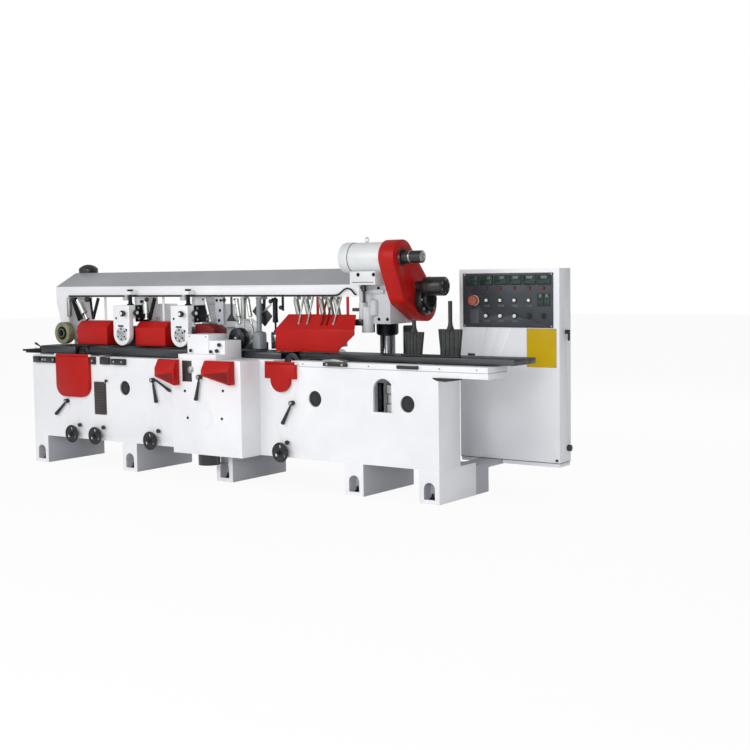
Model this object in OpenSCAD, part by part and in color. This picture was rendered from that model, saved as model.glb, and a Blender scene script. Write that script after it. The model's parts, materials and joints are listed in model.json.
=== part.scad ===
// Four sided moulder: boards enter at the right (infeed) end and leave at the left (outfeed) end.
// Stations run from the bed's infeed end towards the outfeed, depths from the bed's front face to the back.

/* [Bed] */
// Length of the bed casting
bed_l = 3670; // [3600:10:3800]
// Depth of the bed casting
bed_d = 720; // [700:5:735]
// Height of the underside of the bed
bed_z = 205; // [195:1:215]
// Wall of the bed casting
bed_wall = 20; // [14:1:24]
// Working height of the tables
table_z = 880; // [870:1:900]
// Depth of the tables from front to back edge
table_d = 256; // [240:1:258]
// Set-back of the tables from the front face
table_setback = 84; // [70:1:84]
// Thickness of the infeed table plate
infeed_plate_t = 35; // [30:1:36]
// Thickness of the middle table plate
mid_plate_t = 43; // [42:1:46]
// Thickness of the outfeed table plate
outfeed_plate_t = 64; // [58:1:68]
// Length of the infeed table past the bed
infeed_reach = 470; // [440:5:500]
// Depth of the nose
nose_d = 240; // [225:5:260]
// Height of the top of the nose
nose_z = 767; // [750:1:780]
// Length of the white shelf past the bed
shelf_reach = 344; // [300:2:400]
// Depth of the white shelf
shelf_d = 220; // [200:2:225]
// Height of the arched window in the nose bay
window_h = 209; // [180:1:220]
// Width of the arched window
window_w = 150; // [120:2:160]

/* [Feet] */
// Width of each foot
foot_w = 145; // [130:1:155]
// Depth of the long feet
foot_d = 560; // [520:5:600]
// Depth of the foot under the nose
nose_foot_d = 420; // [400:5:440]
// Radius of the anchor holes
anchor_r = 9; // [7:0.5:11]
// Thickness of the foot's floor flange
foot_floor = 25; // [20:1:30]
// Width of the arched recess in each foot
arch_w = 80; // [70:1:90]
// Height of the arched recess
arch_h = 130; // [110:1:140]
// Depth of the arched recess
arch_d = 70; // [60:1:80]

/* [Stations] */
// Length of the infeed nose as a share of the bed
nose_share = 0.0926; // [0.088:0.0002:0.096]
// Place of the second foot as a share of the bed
foot_2_share = 0.154; // [0.15:0.0005:0.16]
// Place of the third foot as a share of the bed
foot_3_share = 0.4518; // [0.45:0.0002:0.455]
// Place of the fourth foot as a share of the bed
foot_4_share = 0.7008; // [0.695:0.0002:0.706]
// Place of the infeed bottom spindle as a share of the bed
bottom_1_share = 0.3283; // [0.327:0.0001:0.3295]
// Place of the outfeed bottom spindle as a share of the bed
bottom_2_share = 0.8733; // [0.87:0.0001:0.876]
// Place of the right side spindle as a share of the bed
right_share = 0.4251; // [0.423:0.0001:0.426]
// Place of the left side spindle as a share of the bed
left_share = 0.5123; // [0.5115:0.0001:0.513]
// Place of the first top head as a share of the bed
top_1_share = 0.6054; // [0.603:0.0001:0.608]
// Place of the second top head as a share of the bed
top_2_share = 0.764; // [0.762:0.0001:0.766]
// Place of the feed gearbox's drive side as a share of the bed
drive_share = 0.1411; // [0.14:0.0001:0.143]
// Place of the front box's infeed side as a share of the bed
box_share = 0.3815; // [0.38:0.0001:0.383]
// Place of the inner infeed roller as a share of the bed
roller_3_share = 0.3379; // [0.337:0.0001:0.339]
// Place of the outer infeed roller as a share of the bed
roller_4_share = 0.2684; // [0.266:0.0001:0.27]
// Distance of the outfeed column from the bed's outfeed end
column_2_inset = 65; // [62:1:70]
// Distance of the outfeed roller from the bed's outfeed end
roller_1_inset = 180; // [170:1:190]

/* [Spindles] */
// Radius of the spindle shafts
shaft_r = 20; // [16:0.5:22]
// Radius of the horizontal cutterheads
cutter_r = 62; // [56:1:64]
// Radius of the vertical cutterheads
side_cutter_r = 60; // [54:1:60]
// Height of the vertical cutterheads
side_cutter_h = 100; // [80:2:105]
// Radius of the bearing quills
quill_r = 56; // [52:1:58]
// Radius of the spindle motors
motor_r = 88; // [80:1:90]
// Width of a sliding spindle unit
unit_w = 200; // [194:1:206]

/* [Side head] */
// Length of the front box
box_l = 615; // [600:5:630]
// Depth of the front box
box_d = 190; // [186:1:200]
// Depth of the red guards on the front box
guard_d = 60; // [55:1:70]
// Distance of the left head's motor from its spindle
side_motor_offset = 104; // [100:1:110]
// Radius of the left head's motor
side_motor_r = 73; // [68:1:74]
// Lowest height of the left head's motor
side_motor_z = 128; // [120:1:140]
// Height of the left head's hood
side_hood_h = 128; // [120:1:140]
// Length of the left head's hood
side_hood_l = 340; // [330:2:345]

/* [Fence and columns] */
// Depth of the fence's working face
fence_face = 345; // [342:1:348]
// Thickness of the fence
fence_t = 18; // [14:1:19]
// Height of the fence above the table
fence_h = 50; // [40:1:55]
// Radius of the lift columns
column_r = 50; // [44:1:50]
// Depth of the lift columns' centres
column_depth = 425; // [424:1:430]
// Height of the top of the columns
column_top = 1225; // [1215:1:1230]

/* [Feed beam] */
// Height of the beam's underside
beam_z = 1243; // [1235:1:1250]
// Height of the beam's front face
beam_face_h = 79; // [70:1:90]
// Rise of the sloped cover behind the front face
beam_rise_h = 104; // [95:1:112]
// Depth of the sloped cover from front to back
beam_slope_d = 200; // [180:2:220]
// Depth of the beam's front face from the bed front
beam_front = 250; // [246:1:254]
// Depth of the whole beam
beam_d = 350; // [330:5:370]
// Wall of the beam
beam_wall = 8; // [5:1:12]
// Lowest height of the beam's end leg
leg_z = 913; // [900:1:925]
// Radius of the lift motor on the beam
lift_motor_r = 74; // [60:1:75]
// Height of the lift motor on the beam
lift_motor_h = 66; // [50:1:80]

/* [Feed drive] */
// Length of the feed gearbox
gear_l = 242; // [230:1:248]
// Height of the feed gearbox
gear_h = 250; // [230:1:260]
// Radius of the feed motor
feed_motor_r = 97; // [90:1:105]
// Length of the feed motor
feed_motor_l = 325; // [310:1:350]
// Depth of the motor axis
motor_depth = 235; // [230:1:240]
// Height of the motor axis
motor_z = 1490; // [1480:1:1500]
// Depth of the driven pulley axis
driven_depth = 455; // [450:1:460]
// Height of the driven pulley axis
driven_z = 1222; // [1217:1:1227]
// Radius of the belt guard round the motor pulley
guard_small_r = 110; // [104:1:118]
// Radius of the belt guard round the driven pulley
guard_large_r = 115; // [112:1:120]
// Thickness of the belt guard
guard_t = 113; // [110:1:120]
// Sheet of the belt guard
guard_sheet = 4; // [2:0.5:6]
// Radius of the motor pulley under the belt
motor_pulley_r = 70; // [60:1:76]
// Radius of the driven pulley under the belt
driven_pulley_r = 88; // [80:1:90]
// Width of the drive belt
belt_w = 32; // [28:1:36]
// Thickness of the drive belt
belt_t = 9; // [7:1:11]
// Radius of the upper cap
upper_cap_r = 39; // [34:1:44]
// Radius of the lower cap
lower_cap_r = 62; // [56:1:68]

/* [Feed rollers] */
// Radius of the soft outfeed roller
soft_roller_r = 82; // [78:1:86]
// Radius of the steel rollers
steel_roller_r = 70; // [64:1:74]
// Width of the rollers
roller_w = 55; // [45:1:58]
// Gap from the table to the rollers at rest
board_gap = 12; // [11:0.5:16]
// Distance of the middle roller from the left spindle
roller_2_offset = 158; // [154:1:162]
// Radius of the air cylinders
cylinder_r = 18; // [15:0.5:20]
// Radius of the cylinder rods
rod_r = 9; // [7:0.5:11]

/* [Hoods] */
// Reach of the infeed hood past its outer roller
infeed_hood_near_over = 135; // [130:1:140]
// Reach of the infeed hood past its inner roller
infeed_hood_far_over = 115; // [110:1:120]
// Length of the slanted lead-in
lead_in = 145; // [120:1:160]
// Sheet of the hoods
hood_sheet = 4; // [2:0.5:5]
// Length of the first chip hood as a share of its room
chip_1_share = 0.717; // [0.69:0.001:0.735]
// Length of the second chip hood as a share of its room
chip_2_share = 0.6226; // [0.59:0.0002:0.66]
// Distance of the first chip hood from its top head as a share of the room
chip_1_offset_share = 0.251; // [0.23:0.001:0.262]
// Distance of the second chip hood from its top head as a share of the room
chip_2_offset_share = 0.232; // [0.2:0.001:0.26]

/* [Cabinet] */
// Width of the cabinet
cabinet_w = 727; // [700:1:740]
// Height of the cabinet
cabinet_h = 1222; // [1200:1:1240]
// Depth of the cabinet with its door
cabinet_d = 150; // [140:1:165]
// Depth of the cabinet's front from the bed front
cabinet_front = 740; // [740:1:760]
// Station of the cabinet's outfeed side
cabinet_s = 309; // [300:1:312]
// Underside of the cabinet
cabinet_z = 185; // [180:1:190]
// Sheet of the cabinet
cabinet_sheet = 5; // [3:0.5:8]
// Thickness of the rear door
door_t = 13.5; // [12:0.5:15]

/* [Controls] */
// Radius of the handwheels
wheel_r = 66; // [58:1:72]
// Height of the handwheels' axes
wheel_z = 240; // [236:1:246]
// Radius of the emergency stop
stop_r = 30; // [24:1:34]
// Radius of the push buttons
button_r = 11; // [10:0.5:14]

/* [Hidden] */
$fn = 48;

// Fits and overruns
overrun = 5;
run_fit = 0.05;
gap = 0.3;

// Overall frame: origin under the middle of the overall length and depth
outfeed_reach = 290;
overall_l = bed_l + infeed_reach + outfeed_reach;
bed_right = overall_l / 2 - infeed_reach;
front_reach = box_d + guard_d;
back_reach = cabinet_front + cabinet_d;
front_y = -(back_reach - front_reach) / 2;
function sx(s) = bed_right - s;
function fy(d) = front_y + d;

// Stations along the bed
nose_l = round(bed_l * nose_share);
foot_2_s = round(bed_l * foot_2_share);
foot_3_s = round(bed_l * foot_3_share);
foot_4_s = round(bed_l * foot_4_share);
bottom_1_s = round(bed_l * bottom_1_share);
bottom_2_s = round(bed_l * bottom_2_share);
right_s = round(bed_l * right_share);
left_s = round(bed_l * left_share);
top_1_s = round(bed_l * top_1_share);
top_2_s = round(bed_l * top_2_share);
drive_s = round(bed_l * drive_share);
box_s = round(bed_l * box_share);
column_1_inset = 147;
column_1_s = drive_s + column_1_inset;
column_2_s = bed_l - column_2_inset;
roller_1_s = bed_l - roller_1_inset;
roller_2_s = left_s - roller_2_offset;
roller_3_s = round(bed_l * roller_3_share);
roller_4_s = round(bed_l * roller_4_share);
side_motor_s = left_s - side_motor_offset;

// Heights of the top spindles and of the heads below the beam
top_z = 978;
top_cutter_r = 55;
head_gap = 58;
head_top = beam_z - head_gap;

// Heights of the bed's steps and cavity
bed_top_in = table_z - mid_plate_t;
bed_top_out = table_z - outfeed_plate_t;
cavity_top = bed_top_out - bed_wall;
step_s = box_s + box_l;
table_back = table_setback + table_d;
column_base_h = 25;
boot_offset = 48;
boot_s = drive_s - boot_offset;
boot_depth = 395;
boot_r = 40;
boot_top = 1055;
column_base_rim = 10;
column_bases = [bed_top_in, bed_top_out];
column_stations = [column_1_s, column_2_s];

// Bottom spindle units and the bays that guide them
cut_proud = 1;
bottom_z = table_z - cutter_r + cut_proud;
bottom_stations = [bottom_1_s, bottom_2_s];
throat_w = 150;
throat_gap = 5;
throat_back = 680;
throat_z = 745;
unit_lift = 10;
unit_front = 400;
unit_slab_t = 40;
unit_bottom = 420;
unit_top = 780;
unit_motor_z = 560;
unit_motor_end = 680;
unit_quill_front = 372;
unit_quill_end = 640;
bottom_nose = 60;
bottom_tail = 655;
bottom_cut_front = 100;
bottom_cut_end = 335;
nut_r = 30;
nut_l = 22;
bay_half = unit_w / 2 + gap;

// Right side spindle
right_depth = fence_face + side_cutter_r - cut_proud;
side_shaft_r = 17.5;
side_cutter_lift = 5;
side_cutter_z = table_z + side_cutter_lift;
side_quill_z = 600;
right_motor_z = 330;
right_flange_h = 18;
right_flange_r = 62;
spindle_tail = 20;
side_nut_h = 14;

// Left head
left_depth = 100;
left_travel = 60;
side_motor_depth = -98;
side_motor_top = 560;
side_neck_w = 70;
side_neck_d = 65;
slab_t = 35;
slab_z = bed_top_in + gap;
side_hood_near = 270;
side_hood_s = left_s - side_hood_near;
side_hood_step = 141;
side_hood_low_h = 88;
side_hood_back = 60;
side_hood_inset = 90;
side_hood_front = side_hood_inset - box_d;
side_quill_r = 52;
tongue_back = left_depth + side_quill_r;
left_quill_z = 640;
box_wall = 12;
box_slot_margin = 14;
box_z = bed_z;
slot_margin = 8;
leg_half = column_r + column_base_rim + slot_margin;
leg_taper = 40;
leg_shoulder_h = 43;
leg_knee_h = 178;
motor_clear = side_motor_depth + side_motor_r + left_travel + slot_margin;

// Top heads
head_half = 82;
head_front = 105;
head_plate_t = 40;
head_arm_h = 95;
head_arm_z = head_top - head_arm_h;
head_back = 602;
head_rear_z = 1020;
head_motor_end = 850;
guide_half = 60;
guide_front = 300;
guide_back = 420;
head_travel = 30;
guide_clear = 4;
guide_z = top_z + top_cutter_r + head_travel + guide_clear;
head_quill_front = 440;
top_nose = 92;
top_tail = 600;
top_cut_front = 165;
top_cut_end = 340;
top_stations = [top_1_s, top_2_s];
screw_depth = 200;
screw_r = 14;
screw_l = 103;
screw_top = head_top + screw_l;
screw_knob_r = 22;
screw_knob_h = 12;
screw_lug_half = 26;
screw_lug_up = 19;
screw_lug_z = beam_z + screw_lug_up;
screw_lug_t = 24;

// Feed rollers and their carriers
roller_front = 140;
roller_shaft_r = 15;
roller_shaft_front = 130;
roller_shaft_end = 300;
roller_hub_r = 32;
arm_front = 200;
arm_half = 40;
arm_below = 40;
arm_above = 50;
rod_depth = 218;
rod_top = 1190;
rod_play = 45;
barrel_z = 1095;
barrel_crown = 4;
lug_half = 14;
lug_back = 262;
lug_t = 18;
tilt = 13;
yoke_near_over = 125;
yoke_far_over = 45;
yoke_near = roller_4_s - yoke_near_over;
yoke_far = roller_3_s + yoke_far_over;
infeed_rod_shares = [0.04, 0.17, 0.33, 0.62, 0.82];
infeed_rod_l = 140;
infeed_barrel_at = 70;
steel_axis_z = table_z + board_gap + steel_roller_r;
soft_axis_z = table_z + board_gap + soft_roller_r;

// Feed drive
gear_front = 250;
gear_back = 500;
gear_top = 1320;
gear_z = gear_top - gear_h;
sleeve_r = 72;
pod_at = 172;
pod_r = 42;
pod_h = 110;
pod_drop_h = 55;
sleeve_drop_h = 70;
base_inset = 42;
base_l = 198;
base_near = drive_s + base_inset;
base_far = base_near + base_l;
base_front = 150;
base_back = 330;
base_h = 85;
ring_r = 16;
ring_wire_r = 5;
drive_shaft_r = 14;
drive_shaft_in = 38;
drive_shaft_end = drive_s + drive_shaft_in;
pulley_flange = 10;
pulley_rim = 12;
belt_s = drive_s - guard_t / 2;
guard_s = drive_s - guard_t;
upper_cap_l = 145;
lower_cap_l = 65;
cap_gap = 2;
guard_tip_out = 45;
guard_tip_drop = 27;
guard_hip_in = 130;
guard_hip_up = 53;
guard_hip_r = 100;
drum_r = 60;
drum_l = 136;
drum_neck_r = 36;
drum_gap = 4;
drum_in = 63;
drum_up = 83;
drum_start = guard_s - lower_cap_l - drum_gap;
drum_depth = driven_depth - drum_in;
drum_z = driven_z + drum_up;
shaft_hole_gap = 6;

// Air line along the lower edge of the beam's front face, ending in an arch
air_r = 6;
air_sides = 8;
air_depth = beam_front - gap - air_r;
air_up = 8;
air_z = beam_z + air_up;
air_shares = [0.959, 0.872, 0.763, 0.654, 0.545, 0.436, 0.327];
air_arch = [[200, 0, 0], [165, 2.5, 5], [135, 7.5, 21], [105, 13.5, 40], [75, 17.5, 47],
    [48, 16.5, 39], [32, 14, 21], [25, 9, 9], [25, 0, 7], [25, -5.5, 7]];
air_route = concat([for (share = air_shares) [bed_l * share, air_depth, air_z]],
    [for (p = air_arch) [drive_s + gear_l + p[0], air_depth - p[1], air_z + p[2]]]);

// Hoods
infeed_hood_front = 118;
infeed_hood_z = 890;
infeed_hood_fold = 1035;
infeed_hood_top = 1130;
infeed_hood_back = 200;
infeed_hood_tip = 1005;
infeed_hood_s = roller_4_s - infeed_hood_near_over;
infeed_hood_far = roller_3_s + infeed_hood_far_over;
infeed_hood_near = infeed_hood_s - lead_in;
strap_w = 20;
strap_t = 6;
strap_1_back = 130;
strap_2_share = 0.63;
chip_z = 895;
chip_top = 1066;
chip_front = 150;
chip_back = 330;
chip_rooms = [top_2_s - top_1_s - head_half * 2, roller_1_s - soft_roller_r - top_2_s - head_half];
chip_stations = [top_1_s + head_half + round(chip_1_offset_share * chip_rooms[0]),
    top_2_s + head_half + round(chip_2_offset_share * chip_rooms[1])];
chip_lengths = [round(chip_1_share * chip_rooms[0]), round(chip_2_share * chip_rooms[1])];
chip_strap_depth = 290;
chip_bevel_d = 45;

// Infeed table and side guides
post_r = 25;
post_bottom = 500;
post_depth = 212;
post_shares = [0.1106, 0.2452];
post_stations = [for (share = post_shares) round(bed_l * share)];
guide_bar_near = -70;
guide_bar_far = 350;
guide_bar_front = 120;
guide_bar_back = 150;
guide_bar_t = 14;
paddle_1_h = 136;
paddle_2_h = 156;
paddle_t = 24;
paddle_taper = 16;
paddle_1_s = 258;
paddle_2_s = -5;
paddle_1_w = 136;
paddle_2_w = 160;
paddle_stations = [paddle_1_s, paddle_2_s];
paddle_widths = [paddle_1_w, paddle_2_w];
paddle_heights = [paddle_1_h, paddle_2_h];
paddle_ribs = 5;
rib_t = 5;
stem_r = 7;
stem_flare_h = 40;
stem_1_top = 1100;
stem_2_top = 1218;
stem_tops = [stem_1_top, stem_2_top];

// Red shields on the front
shield_d = 26;
shield_sheet = 4;
left_shield_lead = 181;
left_shield_s = bottom_2_s - left_shield_lead;
left_shield_l = 356;
left_shield_z = 515;
left_shield_corner_r = 90;
right_shield_lead = 124;
right_shield_s = bottom_1_s - right_shield_lead;
right_shield_l = 253;
right_shield_z = 632;
right_shield_step = 720;
right_shield_inset = 48;
shield_top = 812;
hinge_z = 822;
hinge_depth = -16;
hinge_r = 9;
hinge_pin_r = 4;
hinge_lug_t = 16;

// Red guards on the front box
guard_a_lap = 73;
guard_a_s = step_s - guard_a_lap;
guard_a_l = 178;
guard_a_z = 664;
guard_b_inset = 48;
guard_b_s = box_s + guard_b_inset;
guard_b_l = 245;
guard_b_z = 683;
guard_top = 836;
guard_slant_d = 34;
guard_brow_h = 60;
guard_rise = 55;

// Distance of the fence's infeed end past the outer infeed roller
fence_lead = 30;

// Outfeed bracket
bracket_l = 180;
bracket_set = 32;
bracket_t = 28;
bracket_drop_h = 75;
bracket_web_front = 150;
bracket_web_back = 250;
bracket_rod_r = 8;

// Cabinet details
stand_inset = 20;
stand_back = back_reach - stand_inset;
stand_foot_l = 155;
stand_foot_back = nose_foot_d + stand_foot_l;
stand_arm_t = 30;
stand_w = 159;
stand_wall = 8;
panel_near = -377;
panel_far = 280;
panel_h = 346;
panel_top_rim = 26;
panel_z = cabinet_z + cabinet_h - panel_top_rim - panel_h;
panel_t = 4;
stop_s = 193;
stop_up = 172;
stop_z = panel_z + stop_up;
stop_l = 24;
stop_stem_r = 10;
stop_gap = 9;
button_l = 9;
button_stem_r = 6;
button_gap = 5;
button_up = 74;
button_z = panel_z + button_up;
button_s = 103;
button_pitch = 105;
button_stations = [for (i = [0 : 2]) button_s - i * button_pitch];
stem_l = 34;
door_pin_r = 4;
door_barrel_r = door_t / 2;
door_hinge_out = 8;
door_hinge_s = cabinet_s + door_hinge_out;
door_hinge_depth = back_reach - door_barrel_r;
door_barrel_l = 90;
door_lug_l = 20;
door_barrel_shares = [0.15, 0.78];
door_barrel_zs = [for (share = door_barrel_shares) cabinet_z + share * cabinet_h];
latch_z = 1009;
latch_depth = 826;
latch_hub_r = 13;
latch_hub_l = 16;
latch_bar_w = 14;
latch_bar_h = 68;
latch_bar_t = 10;
latch_stem_r = 6;
gland_r = 20;
gland_l = 22;
gland_z = 274;
gland_depth = 851;

// Handwheels and clamp levers, with the levers' leans from straight down and the faces they sit on
wheel_shares = [0.875, 0.807, 0.653];
wheel_stations = concat(bed_l * wheel_shares, [bottom_1_s]);
wheel_shaft_r = 10;
wheel_shaft_end = 60;
wheel_hub_r = 20;
wheel_hub_l = 50;
wheel_web_t = 8;
wheel_web_at = 40;
wheel_rim_r = 8;
wheel_grip_r = 9;
wheel_grip_l = 38;
wheel_hole_r = 11;
lever_1_share = 0.895;
lever_2_offset = 365;
lever_3_offset = 348;
lever_4_share = 0.305;
lever_stations = [bed_l * lever_1_share, step_s + lever_2_offset, box_s + lever_3_offset,
    bed_l * lever_4_share];
lever_height_shares = [0.545, 0.758, 0.824, 0.641];
lever_pivots = [for (i = [0 : 3]) [lever_stations[i], table_z * lever_height_shares[i]]];
lever_l = 150;
lever_leans = [49, -12, 13, 30];
lever_faces = [0, 0, -box_d, 0];
lever_hub_r = 16;
lever_hub_l = 32;
lever_pin_r = 8;
lever_pin_end = 18;
lever_arm_r = 6;
lever_ball_r = 13;
port_shares = [0.729, 0.256, 0.0613];
port_stations = bed_l * port_shares;
port_z = 598;
port_r = 52;

// Colours
white = "#F0F1F4";
red = "#B3271F";
iron = "#3A3C3E";
grey = "#A4A6AB";
black = "#1E1F21";
steel = "#B9BCC0";

// A block between two stations, two depths and two heights
module block(s0, s1, d0, d1, z0, z1) {
    translate([sx(s1), fy(d0), z0])
        cube([s1 - s0, d1 - d0, z1 - z0]);
}

// Round bars along the length, the depth and the height
module rod_x(s0, s1, d, z, r) {
    translate([sx(s1), fy(d), z])
        rotate([0, 90, 0])
            cylinder(h = s1 - s0, r = r);
}

module rod_y(s, d0, d1, z, r) {
    translate([sx(s), fy(d1), z])
        rotate([90, 0, 0])
            cylinder(h = d1 - d0, r = r);
}

module rod_z(s, d, z0, z1, r) {
    translate([sx(s), fy(d), z0])
        cylinder(h = z1 - z0, r = r);
}

// A flat outline in length and height, given depth; and one in depth and height, given length
module slab_y(d0, d1) {
    translate([0, fy(d1), 0])
        rotate([90, 0, 0])
            linear_extrude(d1 - d0)
                children();
}

module slab_x(s0, s1) {
    translate([sx(s1), 0, 0])
        rotate([90, 0, 90])
            linear_extrude(s1 - s0)
                children();
}

// Bed casting with ribs, throats, windows and bores
module bed_bays() {
    rib = bay_half + bed_wall;
    ends = [nose_l + bed_wall, bottom_1_s - rib, bottom_1_s - bay_half, bottom_1_s + bay_half,
        bottom_1_s + rib, bottom_2_s - rib, bottom_2_s - bay_half, bottom_2_s + bay_half,
        bottom_2_s + rib, bed_l - bed_wall];
    for (i = [0 : 2 : len(ends) - 1])
        block(ends[i], ends[i + 1], bed_wall, bed_d - bed_wall, bed_z - overrun, cavity_top);
    block(bed_wall, nose_l - bed_wall, bed_wall, nose_d - bed_wall, bed_z - overrun, nose_z - bed_wall);
}

module bed_openings() {
    for (s = bottom_stations)
        block(s - throat_w / 2, s + throat_w / 2, -overrun, throat_back, throat_z, table_z);
    block(box_s + box_wall, step_s - box_wall, -overrun, bed_wall + overrun, bed_z + bed_wall,
        cavity_top - bed_wall);
    block(side_motor_s - side_motor_r - box_slot_margin, side_motor_s + side_motor_r + box_slot_margin,
        -overrun,
        bed_wall + overrun, bed_z - overrun, bed_z + bed_wall + overrun);
    block(left_s - side_quill_r - slot_margin, left_s + side_quill_r + slot_margin,
        left_depth - side_quill_r - slot_margin, tongue_back + left_travel + slot_margin,
        cavity_top - overrun, table_z);
    rod_z(right_s, right_depth, cavity_top - overrun, table_z, quill_r + gap);
    for (s = post_stations)
        rod_z(s, post_depth, cavity_top - overrun, table_z, post_r + run_fit);
    for (s = port_stations)
        rod_y(s, -overrun, bed_wall + overrun, port_z, port_r);
    for (s = wheel_stations)
        rod_y(s, -overrun, bed_wall + overrun, wheel_z, wheel_shaft_r + run_fit);
    for (i = [0, 1, 3])
        rod_y(lever_pivots[i][0], -overrun, bed_wall + overrun, lever_pivots[i][1], lever_pin_r + run_fit);
    arch_z = nose_z - bed_wall - window_w / 2;
    block(post_stations[0] - window_w / 2, post_stations[0] + window_w / 2, -overrun, bed_wall + overrun,
        arch_z + window_w / 2 - window_h, arch_z);
    rod_y(post_stations[0], -overrun, bed_wall + overrun, arch_z, window_w / 2);
}

// Lugs and pins that a shield swings on
module shield_hinge(s0, s1) {
    for (e = [[s0 - gap - hinge_lug_t, s0 - gap], [s1 + gap, s1 + gap + hinge_lug_t]]) {
        rod_x(e[0], e[1], hinge_depth, hinge_z, hinge_r);
        block(e[0], e[1], hinge_depth, 0, hinge_z - hinge_r, hinge_z);
    }
    rod_x(s0 - gap - hinge_lug_t, s1 + gap + hinge_lug_t, hinge_depth, hinge_z, hinge_pin_r);
}

module bed_casting() {
    color(white) {
        difference() {
            union() {
                block(nose_l, bed_l, 0, bed_d, bed_z, bed_top_out);
                block(nose_l, step_s, 0, bed_d, bed_top_out, bed_top_in);
                block(0, nose_l, 0, nose_d, bed_z, nose_z);
                block(-shelf_reach, nose_l, 0, shelf_d, nose_z, bed_top_in);
            }
            bed_bays();
            bed_openings();
        }
        shield_hinge(left_shield_s, left_shield_s + left_shield_l);
        shield_hinge(right_shield_s, right_shield_s + right_shield_l);
    }
}

// Cast feet with an arched recess and an anchor hole at each end
module foot(s, depth, ends) {
    mid = s + foot_w / 2;
    difference() {
        block(s, s + foot_w, 0, depth, 0, bed_z);
        for (d = ends) {
            block(mid - arch_w / 2, mid + arch_w / 2, d - overrun, d + arch_d + overrun, foot_floor,
                arch_h - arch_w / 2);
            rod_y(mid, d - overrun, d + arch_d + overrun, arch_h - arch_w / 2, arch_w / 2);
            rod_z(mid, d + arch_d / 2, -overrun, foot_floor + overrun, anchor_r);
        }
    }
}

module bed_feet() {
    color(grey) {
        foot(0, nose_foot_d, [0]);
        for (s = [foot_2_s, foot_4_s, bed_l - foot_w])
            foot(s, foot_d, [0, foot_d - arch_d]);
        difference() {
            foot(foot_3_s, foot_d, [0, foot_d - arch_d]);
            block(side_motor_s - side_motor_r - slot_margin, side_motor_s + side_motor_r + slot_margin,
                -overrun,
                motor_clear, side_motor_z - slot_margin, bed_z + overrun);
        }
    }
}

// Box on the front that carries the left head
module side_head_box() {
    color(white)
        difference() {
            block(box_s, step_s, -box_d, 0, box_z, bed_top_in);
            block(box_s + box_wall, step_s - box_wall, box_wall - box_d, overrun, box_z + box_wall,
                bed_top_in - box_wall);
            block(side_motor_s - side_motor_r - box_slot_margin,
                side_motor_s + side_motor_r + box_slot_margin,
                box_wall - box_d, overrun, box_z - overrun, box_z + box_wall + overrun);
            block(side_motor_s - side_neck_w / 2 - slot_margin,
                side_motor_s + side_neck_w / 2 + slot_margin,
                side_motor_depth - side_neck_d / 2 - slot_margin, overrun, cavity_top,
                    bed_top_in + overrun);
            rod_y(lever_pivots[2][0], -box_d - overrun, box_wall - box_d + overrun, lever_pivots[2][1],
                lever_pin_r + run_fit);
        }
}

// Fixed table plates between the throats
module bed_table() {
    edge = throat_w / 2 + throat_gap;
    color(iron)
        difference() {
            union() {
                block(bottom_1_s + edge, step_s, table_setback, table_back, bed_top_in, table_z);
                block(step_s, bottom_2_s - edge, table_setback, table_back, bed_top_out, table_z);
                block(bottom_2_s + edge, bed_l, table_setback, table_back, bed_top_out, table_z);
            }
            block(side_hood_s - slot_margin, side_hood_s + side_hood_l + slot_margin,
                table_setback - overrun,
                side_hood_back + left_travel + slot_margin, bed_top_in - overrun, table_z + overrun);
            block(left_s - side_cutter_r - slot_margin, left_s + side_cutter_r + slot_margin, table_setback,
                left_depth + left_travel + side_cutter_r + slot_margin, bed_top_in - overrun,
                    table_z + overrun);
        }
}

// Fence along the back of the board's path, open at the right spindle and notched over the throats
module fence_rail() {
    fence_near = roller_4_s + fence_lead;
    fence_far = column_2_s - leg_half - slot_margin;
    right_half = side_cutter_r + slot_margin;
    color(iron)
        difference() {
            union() {
                block(fence_near, right_s - right_half, fence_face, fence_face + fence_t, bed_top_in,
                    table_z + fence_h);
                block(right_s + right_half, fence_far, fence_face, fence_face + fence_t, bed_top_in,
                    table_z + fence_h);
                block(step_s, fence_far, fence_face, fence_face + fence_t, bed_top_out, bed_top_in);
            }
            for (s = bottom_stations)
                block(s - throat_w / 2, s + throat_w / 2, fence_face - overrun,
                    fence_face + fence_t + overrun,
                    throat_z, bottom_z + shaft_r + unit_lift + overrun);
        }
}

module lift_columns() {
    color(black)
        rod_z(boot_s, boot_depth, column_bases[0], boot_top, boot_r);
    color(steel)
        for (i = [0, 1]) {
            rod_z(column_stations[i], column_depth, column_bases[i], column_top, column_r);
            rod_z(column_stations[i], column_depth, column_bases[i], column_bases[i] + column_base_h,
                column_r + column_base_rim);
        }
}

// Red guard with a slanted brow over its front and a lower edge that rises to the outfeed side
module box_guard(s, l, z) {
    difference() {
        slab_x(s, s + l)
            polygon([[fy(-box_d), z], [fy(-box_d), guard_top], [fy(guard_slant_d - front_reach), guard_top],
                [fy(-front_reach), guard_top - guard_brow_h], [fy(-front_reach), z]]);
        slab_y(-front_reach - overrun, overrun - box_d)
            polygon([[sx(s), z], [sx(s + l), z + guard_rise], [sx(s + l + overrun), z + guard_rise],
                [sx(s + l + overrun), z - overrun], [sx(s), z - overrun]]);
    }
}

module side_head_guards() {
    color(red) {
        box_guard(guard_a_s, guard_a_l, guard_a_z);
        box_guard(guard_b_s, guard_b_l, guard_b_z);
    }
}

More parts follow.
